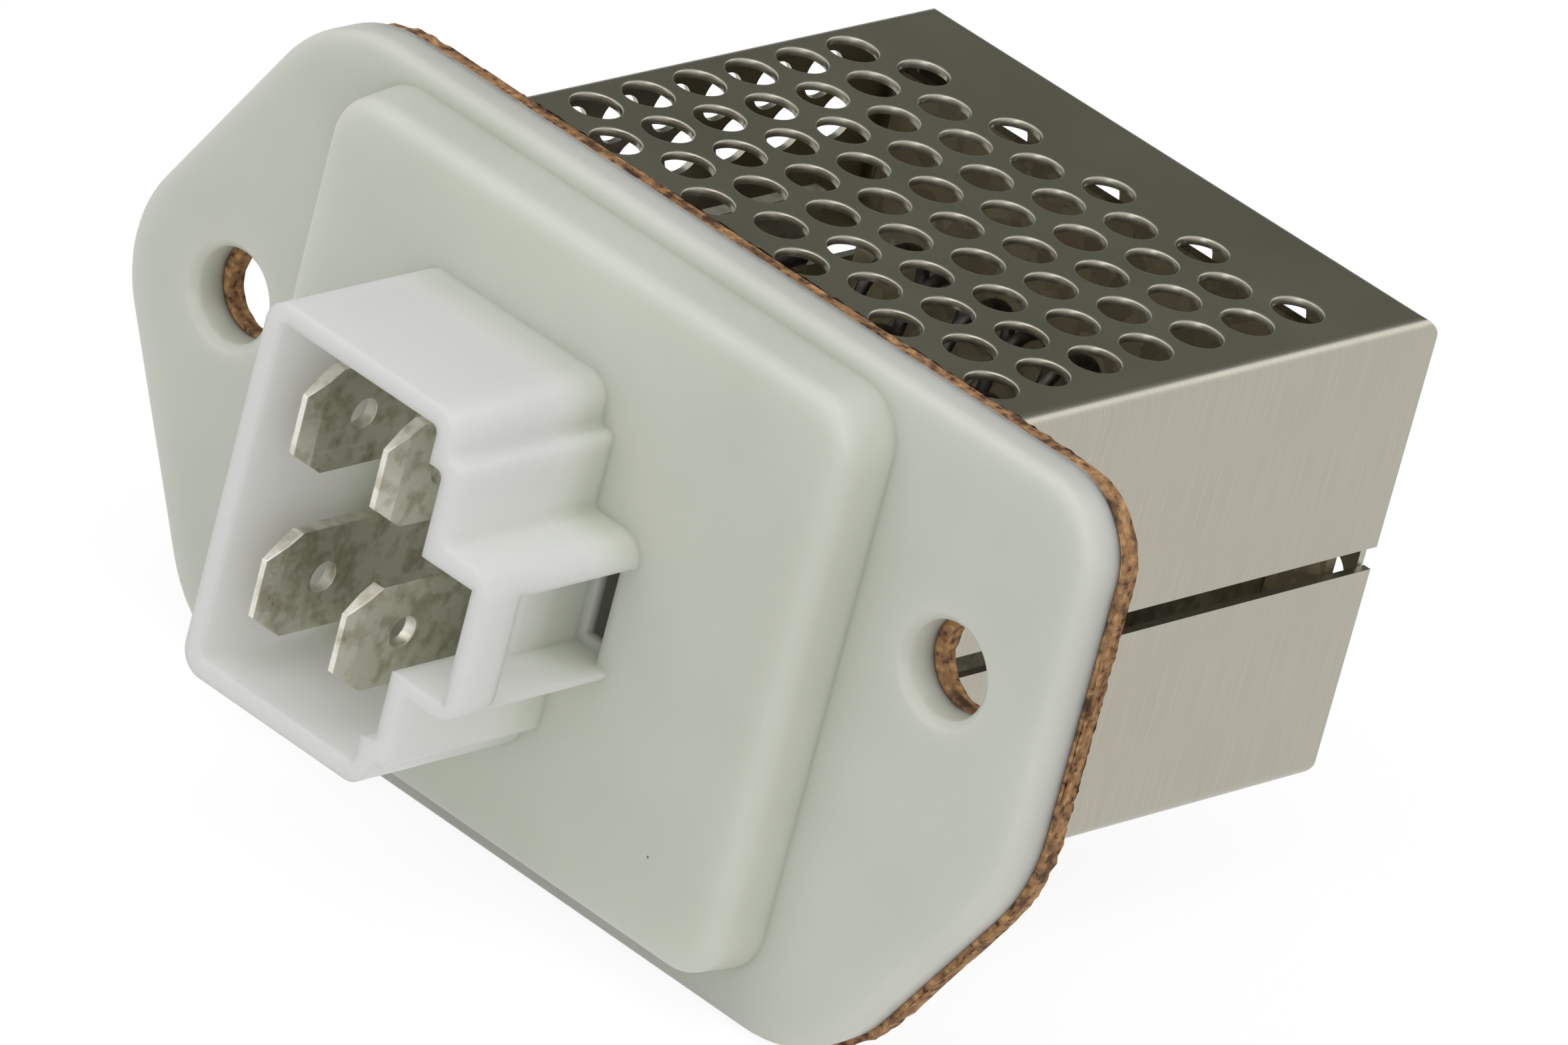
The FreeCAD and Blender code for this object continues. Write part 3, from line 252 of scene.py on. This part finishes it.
# Drawn nichrome wire, spun aluminium, tinned copper and rolled brass: each has two tones that
# run into one another, and a gloss that is uneven where the tool or the heat has marked it.
drawnMetals = {
    "drawnNichrome": {"body": "6E6A66", "marks": "4C4844", "roughness": 0.42, "markMm": 0.8},
    "spunAluminium": {"body": "C9C9C8", "marks": "B4B4B2", "roughness": 0.3, "markMm": 2.0},
    "tinnedCopper": {"body": "B5B1A9", "marks": "98928A", "roughness": 0.35, "markMm": 0.6},
    "rolledBrass": {"body": "C9A75E", "marks": "A9853F", "roughness": 0.36, "markMm": 0.9},
}


def makeDrawnMetal(name, look):
    material = newMaterial(name)
    place = addNode(material, "ShaderNodeTexCoord").outputs["Object"]
    patch = addNode(material, "ShaderNodeTexNoise",
                    {"Scale": 1000 / look["markMm"], "Detail": 4.0}, {"Vector": place})
    share = addNode(material, "ShaderNodeMapRange", {"From Min": 0.35, "From Max": 0.65},
                    {"Value": patch.outputs["Fac"]})
    body = addNode(material, "ShaderNodeMix",
                   {"data_type": "RGBA", 6: look["body"], 7: look["marks"]},
                   {0: share.outputs[0]})
    rough = addNode(material, "ShaderNodeMapRange",
                    {"From Min": 0.3, "From Max": 0.7, "To Min": look["roughness"] - 0.08,
                     "To Max": look["roughness"] + 0.1}, {"Value": patch.outputs["Fac"]})
    shader = addNode(material, "ShaderNodeBsdfPrincipled", {"Metallic": 1.0},
                     {"Base Color": body.outputs[2], "Roughness": rough.outputs[0]})
    addNode(material, "ShaderNodeOutputMaterial", None, {"Surface": shader.outputs[0]})
    return material


# Cured epoxy bead: amber and glossy, a little clear at its thin edge.
epoxyBead = {"dark": "A07A3C", "pale": "C49A55", "cloudMm": 1.2, "roughness": 0.15,
             "clear": 0.25, "milky": 0.3, "depthMm": 0.5}


def makeEpoxyBead(look):
    material = newMaterial("epoxyBead")
    place = addNode(material, "ShaderNodeTexCoord").outputs["Object"]
    cloud = addNode(material, "ShaderNodeTexNoise", {"Scale": 1000 / look["cloudMm"]},
                    {"Vector": place})
    body = addNode(material, "ShaderNodeMix",
                   {"data_type": "RGBA", 6: look["dark"], 7: look["pale"]},
                   {0: cloud.outputs["Fac"]})
    shader = addNode(material, "ShaderNodeBsdfPrincipled", {
        "Roughness": look["roughness"], "IOR": 1.55, "Transmission Weight": look["clear"],
        "Subsurface Weight": look["milky"], "Subsurface Scale": look["depthMm"] * mm,
    }, {"Base Color": body.outputs[2]})
    addNode(material, "ShaderNodeOutputMaterial", None, {"Surface": shader.outputs[0]})
    return material


# Pressed mica sheet: silvery buff flakes lying flat in binder, so it glitters a little.
micaSheet = {"pale": "B9AC8C", "dark": "8E8266", "flakeMm": 1.1}


def makeMicaSheet(look):
    material = newMaterial("micaSheet")
    place = addNode(material, "ShaderNodeTexCoord").outputs["Object"]
    flakes = addNode(material, "ShaderNodeTexVoronoi", {"Scale": 1000 / look["flakeMm"]},
                     {"Vector": place})
    tone = addNode(material, "ShaderNodeSeparateColor", None,
                   {"Color": flakes.outputs["Color"]}).outputs["Red"]
    body = addNode(material, "ShaderNodeMix",
                   {"data_type": "RGBA", 6: look["pale"], 7: look["dark"]}, {0: tone})
    rough = addNode(material, "ShaderNodeMapRange", {"To Min": 0.3, "To Max": 0.6},
                    {"Value": tone})
    shader = addNode(material, "ShaderNodeBsdfPrincipled", {"IOR": 1.58},
                     {"Base Color": body.outputs[2], "Roughness": rough.outputs[0]})
    addNode(material, "ShaderNodeOutputMaterial", None, {"Surface": shader.outputs[0]})
    return material


nylonFinish = makeNaturalNylon(naturalNylon)
fibreFinish = makeFibreSheet(fibreSheet)
stainlessFinish = makeRolledStainless(rolledStainless)
tinFinish = makeTinnedBrass(tinnedBrass)
wireFinish, canFinish, leadFinish, crimpFinish = [
    makeDrawnMetal(name, look) for name, look in drawnMetals.items()]
beadFinish = makeEpoxyBead(epoxyBead)
micaFinish = makeMicaSheet(micaSheet)
print("materials made")


# Meshes

def addPiece(name, mesh, finish, replaces):
    piece = bpy.data.objects.new(name, mesh)
    bpy.context.scene.collection.objects.link(piece)
    mesh.materials.clear()
    mesh.materials.append(finish)
    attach(piece, "root")
    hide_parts(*replaces)
    return piece


def smoothed(mesh, angle=30):
    for polygon in mesh.polygons:
        polygon.use_smooth = True
    mesh.set_sharp_from_angle(angle=math.radians(angle))
    return mesh


def sweepTube(points, radius, sides=10):
    # a round wire along the points, with closed ends
    verts, faces = [], []
    count = len(points)
    across = None
    for index, place in enumerate(points):
        ahead = points[min(index + 1, count - 1)] - points[max(index - 1, 0)]
        ahead.normalize()
        if across is None:
            across = ahead.orthogonal().normalized()
        across = (across - ahead * across.dot(ahead)).normalized()
        other = ahead.cross(across)
        for side in range(sides):
            angle = 2 * math.pi * side / sides
            verts.append(place + (across * math.cos(angle) + other * math.sin(angle)) * radius)
    for index in range(count - 1):
        for side in range(sides):
            low, after = index * sides, (side + 1) % sides
            faces.append((low + side, low + after, low + sides + after, low + sides + side))
    faces.append(tuple(reversed(range(sides))))
    faces.append(tuple(range((count - 1) * sides, count * sides)))
    mesh = bpy.data.meshes.new("tube")
    mesh.from_pydata([tuple(v) for v in verts], [], faces)
    return mesh


# Cage: one strip over the top, rear and bottom, with a flap down or up from each side edge.
cage = {
    "width": 39.6, "height": 28.9, "frontY": -1.1, "rearY": 41.2, "sheet": 0.5, "fold": 1.0,
    "seam": 0.2, "flapHeight": 14.2, "flapGap": 1.4,
    "holeRadius": 1.5, "columnPitch": 4.2, "rowPitch": 4.13, "columns": 10,
    "lastRowY": 33.6, "firstRowY": 8.0, "topShift": -0.6,
    "rearFirstDrop": 4.35, "rearLastDrop": 25.9, "rearShift": 0.7,
    "leftLastY": 34.6, "leftFirstY": 5.5, "leftDrops": (5.95, 2.95),
    "rollover": 0.2, "rolloverDepth": 0.09, "step": 1.5, "holeSides": 36, "foldSteps": 8,
    "rimShare": 0.993,  # between the middles of slivers inside a 36-sided rim and outside it
    "smoothAngle": 35,
    "slotX": 9.9, "slotWidth": 4.4, "slotY": (0.7, 3.1),
}


def stations(start, end, step):
    count = max(1, round(abs(end - start) / step))
    return [start + (end - start) * index / count for index in range(count + 1)]


def stripPlace(across, along, depth):
    # the strip's own length runs from the top's front edge round to the bottom's front edge
    fold, rear = cage["fold"], cage["rearY"]
    halfHigh = cage["height"] / 2
    topRun = rear - fold - cage["frontY"]
    bend = math.pi / 2 * fold
    rearRun = cage["height"] - 2 * fold
    if along <= topRun:
        y, z = cage["frontY"] + along, halfHigh - depth
    elif along <= topRun + bend:
        angle = (along - topRun) / fold
        y = rear - fold + (fold - depth) * math.sin(angle)
        z = halfHigh - fold + (fold - depth) * math.cos(angle)
    elif along <= topRun + bend + rearRun:
        y, z = rear - depth, halfHigh - fold - (along - topRun - bend)
    elif along <= topRun + 2 * bend + rearRun:
        angle = (along - topRun - bend - rearRun) / fold
        y = rear - fold + (fold - depth) * math.cos(angle)
        z = -halfHigh + fold - (fold - depth) * math.sin(angle)
    else:
        y = rear - fold - (along - topRun - 2 * bend - rearRun)
        z = -halfHigh + depth
    return Vector((across, y, z + insertZ))


def foldPlace(side, level, turn, reach, depth, sideways):
    # a fold's point at angle turn from the top or bottom; reach is its place along the fold
    bent = cage["fold"] - depth
    out, up = bent * math.sin(turn), cage["height"] / 2 - cage["fold"] + bent * math.cos(turn)
    if sideways:
        x, y = cage["width"] / 2 - cage["fold"] + out, reach
        x *= side
    else:
        x, y = reach, cage["rearY"] - cage["fold"] + out
    return Vector((x, y, level * up + insertZ))


def flapPlace(side, level, down, y, depth):
    # down is the drop from the cage's top, or the rise from its bottom
    return Vector((side * (cage["width"] / 2 - depth), y,
                   level * (cage["height"] / 2 - down) + insertZ))


def insideOutline(point, outline):
    inside = False
    for (x0, y0), (x1, y1) in zip(outline, outline[1:] + outline[:1]):
        if (y0 > point.y) != (y1 > point.y):
            if point.x < (x1 - x0) * (point.y - y0) / (y1 - y0) + x0:
                inside = not inside
    return inside


def edgePoints(corners, step):
    # the outline's corners with points between them, so that panels and folds share edges
    points = []
    for (x0, y0), (x1, y1) in zip(corners, corners[1:] + corners[:1]):
        share = max(1, round(math.hypot(x1 - x0, y1 - y0) / step))
        points += [(x0 + (x1 - x0) * k / share, y0 + (y1 - y0) * k / share)
                   for k in range(share)]
    return points


def staggered(first, rows, rowStep, shift):
    centres = []
    columnStep = cage["columnPitch"] * math.cos(math.radians(30))
    for row in range(rows):
        for column in range(cage["columns"]):
            if (row + column) % 2:
                x = (column - (cage["columns"] - 1) / 2) * columnStep + shift
                centres.append((x, first + row * rowStep))
    return centres


def buildCage():
    outer, inner, flat, faces, lookup = [], [], [], [], {}

    def keep(spot, under, uv):
        # one point of the sheet's outer face, with the one under it, kept once
        key = tuple(round(value, 3) for value in spot)
        if key not in lookup:
            lookup[key] = len(outer)
            outer.append(spot)
            inner.append(under)
            flat.append(uv)
        return lookup[key]

    def vertex(place, across, along, depth=0.0):
        return keep(place(across, along, depth), place(across, along, cage["sheet"]),
                    (across, along))

    def fillPanel(place, outline, holes, slots=()):
        # the holes' edges roll over a little, as the punch draws the sheet in
        roll, sink, sides = cage["rollover"], cage["rolloverDepth"], cage["holeSides"]
        rings = [(roll + 0.1, 0.0), (roll, 0.0), (roll * 0.45, sink * 0.2),
                 (roll * 0.12, sink * 0.6), (0.0, sink)]
        turns = [2 * math.pi * side / sides for side in range(sides)]
        reach = cage["holeRadius"] + rings[0][0]
        rims = [[(x + reach * math.cos(turn), y + reach * math.sin(turn)) for turn in turns]
                for x, y in holes]
        points, edges = [], []
        for loop in [outline] + rims + list(slots):
            start, count = len(points), len(loop)
            points += loop
            edges += [(start + index, start + (index + 1) % count) for index in range(count)]
        solved = delaunay_2d_cdt([Vector(point) for point in points], edges, [], 0, 1e-5)
        indexOf = [vertex(place, point[0], point[1]) for point in solved[0]]
        for triangle in solved[2]:
            middle = sum((solved[0][index] for index in triangle), Vector((0, 0))) / 3
            cut = any(insideOutline(middle, slot) for slot in slots) or any(
                (middle.x - x) ** 2 + (middle.y - y) ** 2 < (reach * cage["rimShare"]) ** 2
                for x, y in holes)
            if insideOutline(middle, outline) and not cut:
                faces.append(tuple(indexOf[index] for index in triangle))
        for x, y in holes:
            previous = None
            for extra, depth in rings:
                reachHere = cage["holeRadius"] + extra
                ring = [vertex(place, x + reachHere * math.cos(turn),
                               y + reachHere * math.sin(turn), depth) for turn in turns]
                if previous:
                    for side in range(sides):
                        after = (side + 1) % sides
                        faces.append((previous[side], previous[after], ring[after], ring[side]))
                previous = ring

    fold, sheet, step = cage["fold"], cage["sheet"], cage["step"]
    halfWide = cage["width"] / 2
    bend = math.pi / 2 * fold
    topRun = cage["rearY"] - fold - cage["frontY"]
    rearRun = cage["height"] - 2 * fold
    total = 2 * (topRun + bend) + rearRun
    flatHalf = halfWide - fold
    rearHalf = halfWide - sheet - cage["seam"] / 2
    rowStep = cage["rowPitch"] / 2

    # top, and the bottom as the top turned over
    rows = int((cage["lastRowY"] - cage["firstRowY"]) / rowStep) + 1
    topHoles = staggered(cage["lastRowY"] - cage["frontY"] - (rows - 1) * rowStep, rows, rowStep,
                         cage["topShift"])
    topPanel = edgePoints([(-flatHalf, 0.0), (flatHalf, 0.0), (flatHalf, topRun),
                           (-flatHalf, topRun)], step)
    slots = []
    for side in (-1, 1):
        left = side * cage["slotX"] - cage["slotWidth"] / 2
        right = left + cage["slotWidth"]
        near, far = (y - cage["frontY"] for y in cage["slotY"])
        slots.append([(left, near), (right, near), (right, far), (left, far)])
    fillPanel(stripPlace, topPanel, topHoles, slots)
    fillPanel(lambda across, along, depth: stripPlace(across, total - along, depth), topPanel,
              topHoles, slots)

    # rear, whose edge rows start from the folds' own points
    rearStep = cage["columnPitch"] / 2
    rearRows = int((cage["rearLastDrop"] - cage["rearFirstDrop"]) / rearStep) + 1
    rearHoles = staggered(cage["rearFirstDrop"] - fold, rearRows, rearStep, cage["rearShift"])
    foldX = stations(-flatHalf, flatHalf, step)
    downRear = stations(0.0, rearRun, step)
    rearPanel = ([(-rearHalf, 0.0)] + [(x, 0.0) for x in foldX]
                 + [(rearHalf, run) for run in downRear]
                 + [(x, rearRun) for x in reversed(foldX)]
                 + [(-rearHalf, run) for run in reversed(downRear[1:])])
    fillPanel(lambda across, along, depth: stripPlace(across, along + topRun + bend, depth),
              rearPanel, rearHoles)

    # folds, mitred into one another at the rear corners
    turns = stations(0.0, math.pi / 2, math.pi / 2 / cage["foldSteps"])
    foldY = stations(cage["frontY"], cage["rearY"] - fold, step)
    seamShare = (rearHalf - flatHalf) / fold

    def fillFold(side, level, sideways):
        def place(turn, reach, depth):
            return foldPlace(side, level, turn, reach, depth, sideways)

        lines = []
        for turn in turns:
            out = fold * math.sin(turn)
            if sideways:
                reaches = foldY + [cage["rearY"] - fold + out]
            else:
                ends = [flatHalf + seamShare * out, flatHalf + out]
                reaches = [-end for end in reversed(ends)] + foldX + ends
            line = []
            for reach in reaches:
                # the inner point keeps to the mitre too
                past = max(0.0, abs(reach) - (cage["rearY"] - fold if sideways else flatHalf))
                drawn = reach - math.copysign(past * sheet / fold, reach)
                line.append(keep(place(turn, reach, 0.0), place(turn, drawn, sheet),
                                 (turn * fold, reach) if sideways else (reach, turn * fold)))
            lines.append(line)
        for upper, lower in zip(lines[:-1], lines[1:]):
            for index in range(len(upper) - 1):
                corners = []
                for corner in (upper[index], upper[index + 1], lower[index + 1], lower[index]):
                    if corner not in corners:
                        corners.append(corner)
                if len(corners) > 2:
                    faces.append(tuple(corners))

    for level in (-1, 1):
        fillFold(1, level, False)
        for side in (-1, 1):
            fillFold(side, level, True)

    # flaps
    leftSteps = int((cage["leftLastY"] - cage["leftFirstY"]) / rowStep) + 1
    leftHoles = [(cage["leftDrops"][index % 2], cage["leftLastY"] - index * rowStep)
                 for index in range(leftSteps)]
    flapY = foldY + [cage["rearY"]]
    for side in (-1, 1):
        for level, end in ((1, cage["flapHeight"]),
                           (-1, cage["height"] - cage["flapHeight"] - cage["flapGap"])):
            down = stations(fold, end, step)
            outline = ([(run, cage["frontY"]) for run in down]
                       + [(end, y) for y in flapY[1:]]
                       + [(run, cage["rearY"]) for run in reversed(down[:-1])]
                       + [(fold, y) for y in reversed(flapY[1:-1])])
            fillPanel(lambda run, y, depth, side=side, level=level:
                      flapPlace(side, level, run, y, depth), outline,
                      leftHoles if side < 0 else [])

    work = bmesh.new()
    uvLayer = work.loops.layers.uv.new("flat")
    outerVerts = [work.verts.new(spot * mm) for spot in outer]
    innerVerts = [work.verts.new(spot * mm) for spot in inner]
    counts = {}
    for face in faces:
        for start, end in zip(face, face[1:] + face[:1]):
            counts[frozenset((start, end))] = counts.get(frozenset((start, end)), 0) + 1

    def addFace(corners, places):
        made = work.faces.new(corners)
        for loop, uv in zip(made.loops, places):
            loop[uvLayer].uv = (uv[0] * mm, uv[1] * mm)

    for face in faces:
        addFace([outerVerts[index] for index in face], [flat[index] for index in face])
        addFace([innerVerts[index] for index in reversed(face)],
                [flat[index] for index in reversed(face)])
        for start, end in zip(face, face[1:] + face[:1]):
            if counts[frozenset((start, end))] == 1:
                addFace([outerVerts[end], outerVerts[start], innerVerts[start], innerVerts[end]],
                        [flat[end], flat[start], flat[start], flat[end]])
    bmesh.ops.recalc_face_normals(work, faces=work.faces)
    unshared = sum(1 for edge in work.edges if len(edge.link_faces) != 2)
    print("cage has", len(work.faces), "faces and", unshared, "edges not shared by two of them")
    mesh = bpy.data.meshes.new("foldedCage")
    work.to_mesh(mesh)
    work.free()
    return smoothed(mesh, cage["smoothAngle"])


addPiece("perforatedCage", buildCage(), stainlessFinish, ["cage"])
print("cage made")


# Gasket: the die tears the fibre sheet's edge, so it is rough where the flange's is clean
gasketCut = {"pieceMm": 0.4, "roughMm": 0.13, "grainMm": 0.55, "fineGrain": 2.7,
             "fineShare": 0.6, "shiftMm": (0.3, 0.0, -0.15)}


def buildGasket(look):
    work = bmesh.new()
    work.from_mesh(cadNodes["gasket"].data)
    bmesh.ops.remove_doubles(work, verts=work.verts, dist=0.001 * mm)

    def rims():
        # edges where a flat face meets the cut edge
        found = []
        for edge in work.edges:
            if len(edge.link_faces) == 2:
                ways = sorted(abs(face.normal.y) for face in edge.link_faces)
                if ways[0] < 0.5 < ways[1] and edge.calc_length() > look["pieceMm"] * mm:
                    found.append(edge)
        return found

    edges = rims()
    while edges:
        bmesh.ops.subdivide_edges(work, edges=edges, cuts=1)
        edges = rims()
    work.normal_update()
    moves = {}
    for vert in work.verts:
        walls = [face.normal for face in vert.link_faces if abs(face.normal.y) < 0.5]
        if walls:
            way = sum(walls, Vector()).normalized()
            spot = vert.co / (look["grainMm"] * mm)
            torn = noise.noise(spot) + look["fineShare"] * noise.noise(spot * look["fineGrain"])
            moves[vert] = way * torn * look["roughMm"] * mm
    for vert, move in moves.items():
        vert.co += move
    for vert in work.verts:
        vert.co += Vector(look["shiftMm"]) * mm
    mesh = bpy.data.meshes.new("tornFibre")
    work.to_mesh(mesh)
    work.free()
    return mesh


addPiece("fibreGasket", buildGasket(gasketCut), fibreFinish, ["gasket"])
print("gasket made")


# Resistance coils, wound close to a helix and welded to the rails at both ends
coils = {
    "coil_high": {"y": 15.0, "wire": 1.3, "turns": 5, "startHigh": True},
    "coil_medium": {"y": 24.4, "wire": 1.0, "turns": 6.5, "startHigh": True},
    "coil_low": {"y": 33.8, "wire": 0.8, "turns": 8, "startHigh": False},
}
winding = {"radius": 3.8, "railX": 14.5, "railThick": 0.8, "weldGap": 0.02,
           "leadPiece": 1.0656, "leadPieces": 3, "perTurn": 36, "wireSides": 12,
           "smoothAngle": 50}


def coilPoints(look):
    wireRadius = look["wire"] / 2
    endX = winding["railX"] - winding["railThick"] / 2 - winding["weldGap"] - wireRadius
    startAngle = math.pi / 2 if look["startHigh"] else -math.pi / 2
    steps = round(look["turns"] * winding["perTurn"])
    points = []
    for step in range(steps + 1):
        angle = startAngle + 2 * math.pi * step / winding["perTurn"]
        points.append(Vector((-endX + 2 * endX * step / steps,
                              look["y"] + winding["radius"] * math.cos(angle),
                              winding["radius"] * math.sin(angle) + insertZ)) * mm)
    firstWay = 1 if look["startHigh"] else -1
    endHigh = (look["turns"] == int(look["turns"])) == look["startHigh"]
    lastWay = -1 if endHigh else 1
    piece = winding["leadPiece"]
    for count in range(winding["leadPieces"]):
        points.insert(0, points[0] + Vector((0, firstWay * piece, 0)) * mm)
        points.append(points[-1] + Vector((0, lastWay * piece, 0)) * mm)
    return points


for nodeName, look in coils.items():
    wire = sweepTube(coilPoints(look), look["wire"] / 2 * mm, winding["wireSides"])
    addPiece(nodeName + "Wound", smoothed(wire, winding["smoothAngle"]), wireFinish,
             [nodeName])
print("coils made")


# CAD nodes that keep their shape take a finish
for nodeName, finish in (
        ("base_moulding", nylonFinish),
        ("terminal_upper_left", tinFinish), ("terminal_upper_right", tinFinish),
        ("terminal_lower_left", tinFinish), ("terminal_lower_right", tinFinish),
        ("junction_post", tinFinish), ("fuse_can", canFinish), ("fuse_seal", beadFinish),
        ("fuse_lead_left", leadFinish), ("fuse_lead_right", leadFinish),
        ("crimp_left", crimpFinish), ("crimp_right", crimpFinish), ("mica_card", micaFinish)):
    mesh = cadNodes[nodeName].data
    mesh.materials.clear()
    mesh.materials.append(finish)
print("finishes given")


# Stage: white paper under the object, soft lamps, a plain world, and behind and above it a
# grey card, seen only in reflections, which gives the cage's top its dark tone.
stage = {
    "floor": "F6F6F4", "seenPaper": "707070", "paperLift": 0.9, "worldShade": 0.5,
    "floorGap": 0.2, "floorSize": 3.0,
    "card": "6E7068", "cardPlace": (-0.42, 0.6, 0.42), "cardSize": 0.5,
    "lamps": (("keyLamp", (-0.5, -0.75, 0.75), 0.5, 0.9),
              ("topLamp", (0.1, -0.25, 1.0), 0.6, 1.7),
              ("fillLamp", (0.75, -0.75, 0.35), 0.6, 1.3),
              ("rimLamp", (0.3, 0.9, 0.7), 0.5, 0.5)),
}


def squarePiece(name, size, finish):
    mesh = bpy.data.meshes.new(name)
    mesh.from_pydata([(-size, -size, 0), (size, -size, 0), (size, size, 0), (-size, size, 0)],
                     [], [(0, 1, 2, 3)])
    mesh.materials.append(finish)
    piece = bpy.data.objects.new(name, mesh)
    bpy.context.scene.collection.objects.link(piece)
    return piece


def seenRays(tree):
    # 1 for what the camera, a mirror or clear stuff sees, 0 for the light that falls on things
    rays = addNode(tree, "ShaderNodeLightPath").outputs
    seen = addNode(tree, "ShaderNodeMath", {"operation": "MAXIMUM"},
                   {0: rays["Is Camera Ray"], 1: rays["Is Glossy Ray"]})
    return addNode(tree, "ShaderNodeMath", {"operation": "MAXIMUM"},
                   {0: seen.outputs[0], 1: rays["Is Transmission Ray"]}).outputs[0]


def buildStage():
    paper = newMaterial("paperSweep")
    seen = seenRays(paper)
    body = addNode(paper, "ShaderNodeMix",
                   {"data_type": "RGBA", 6: stage["floor"], 7: stage["seenPaper"]}, {0: seen})
    lift = addNode(paper, "ShaderNodeMath", {"operation": "MULTIPLY", 1: stage["paperLift"]},
                   {0: seen})
    shader = addNode(paper, "ShaderNodeBsdfPrincipled",
                     {"Roughness": 0.9, "Emission Color": "FFFFFF", "Specular IOR Level": 0.0},
                     {"Base Color": body.outputs[2], "Emission Strength": lift.outputs[0]})
    addNode(paper, "ShaderNodeOutputMaterial", None, {"Surface": shader.outputs[0]})
    floor = squarePiece("floor", stage["floorSize"], paper)
    floor.location.z = cadBounds[0][2] - stage["floorGap"] * mm

    grey = newMaterial("greyCard")
    shader = addNode(grey, "ShaderNodeEmission", {"Color": stage["card"]})
    addNode(grey, "ShaderNodeOutputMaterial", None, {"Surface": shader.outputs[0]})
    card = squarePiece("greyCard", stage["cardSize"], grey)
    card.location = stage["cardPlace"]
    card.rotation_euler = (-card.location).to_track_quat("Z", "Y").to_euler()
    card.visible_camera = card.visible_diffuse = card.visible_shadow = False
    card.visible_transmission = False

    world = bpy.data.worlds.new("studio")
    bpy.context.scene.world = world
    world.use_nodes = True
    world.node_tree.nodes.clear()
    strength = addNode(world, "ShaderNodeMapRange", {"To Min": stage["worldShade"]},
                       {"Value": seenRays(world)})
    background = addNode(world, "ShaderNodeBackground", {"Color": "FFFFFF"},
                         {"Strength": strength.outputs[0]})
    addNode(world, "ShaderNodeOutputWorld", None, {"Surface": background.outputs[0]})

    for name, place, size, power in stage["lamps"]:
        data = bpy.data.lights.new(name, "AREA")
        data.shape = "DISK"
        data.size = size
        data.energy = power
        lamp = bpy.data.objects.new(name, data)
        lamp.location = place
        lamp.rotation_euler = (-lamp.location).to_track_quat("-Z", "Y").to_euler()
        bpy.context.scene.collection.objects.link(lamp)


buildStage()

# Camera: the photograph's own view, solved from its straight edges
view = {"lens": 340.59, "place": (449.070, -561.221, 344.416),
        "turn": (63.58026, -13.44164, 44.52972)}
cameraData = bpy.data.cameras.new("view")
cameraData.sensor_width = 36
cameraData.lens = view["lens"]
cameraData.clip_start = 0.01
camera = bpy.data.objects.new("view", cameraData)
camera.location = Vector(view["place"]) * mm
camera.rotation_euler = [math.radians(angle) for angle in view["turn"]]
bpy.context.scene.collection.objects.link(camera)
bpy.context.scene.camera = camera
bpy.context.scene.view_settings.view_transform = "Standard"

print("stage and camera set")
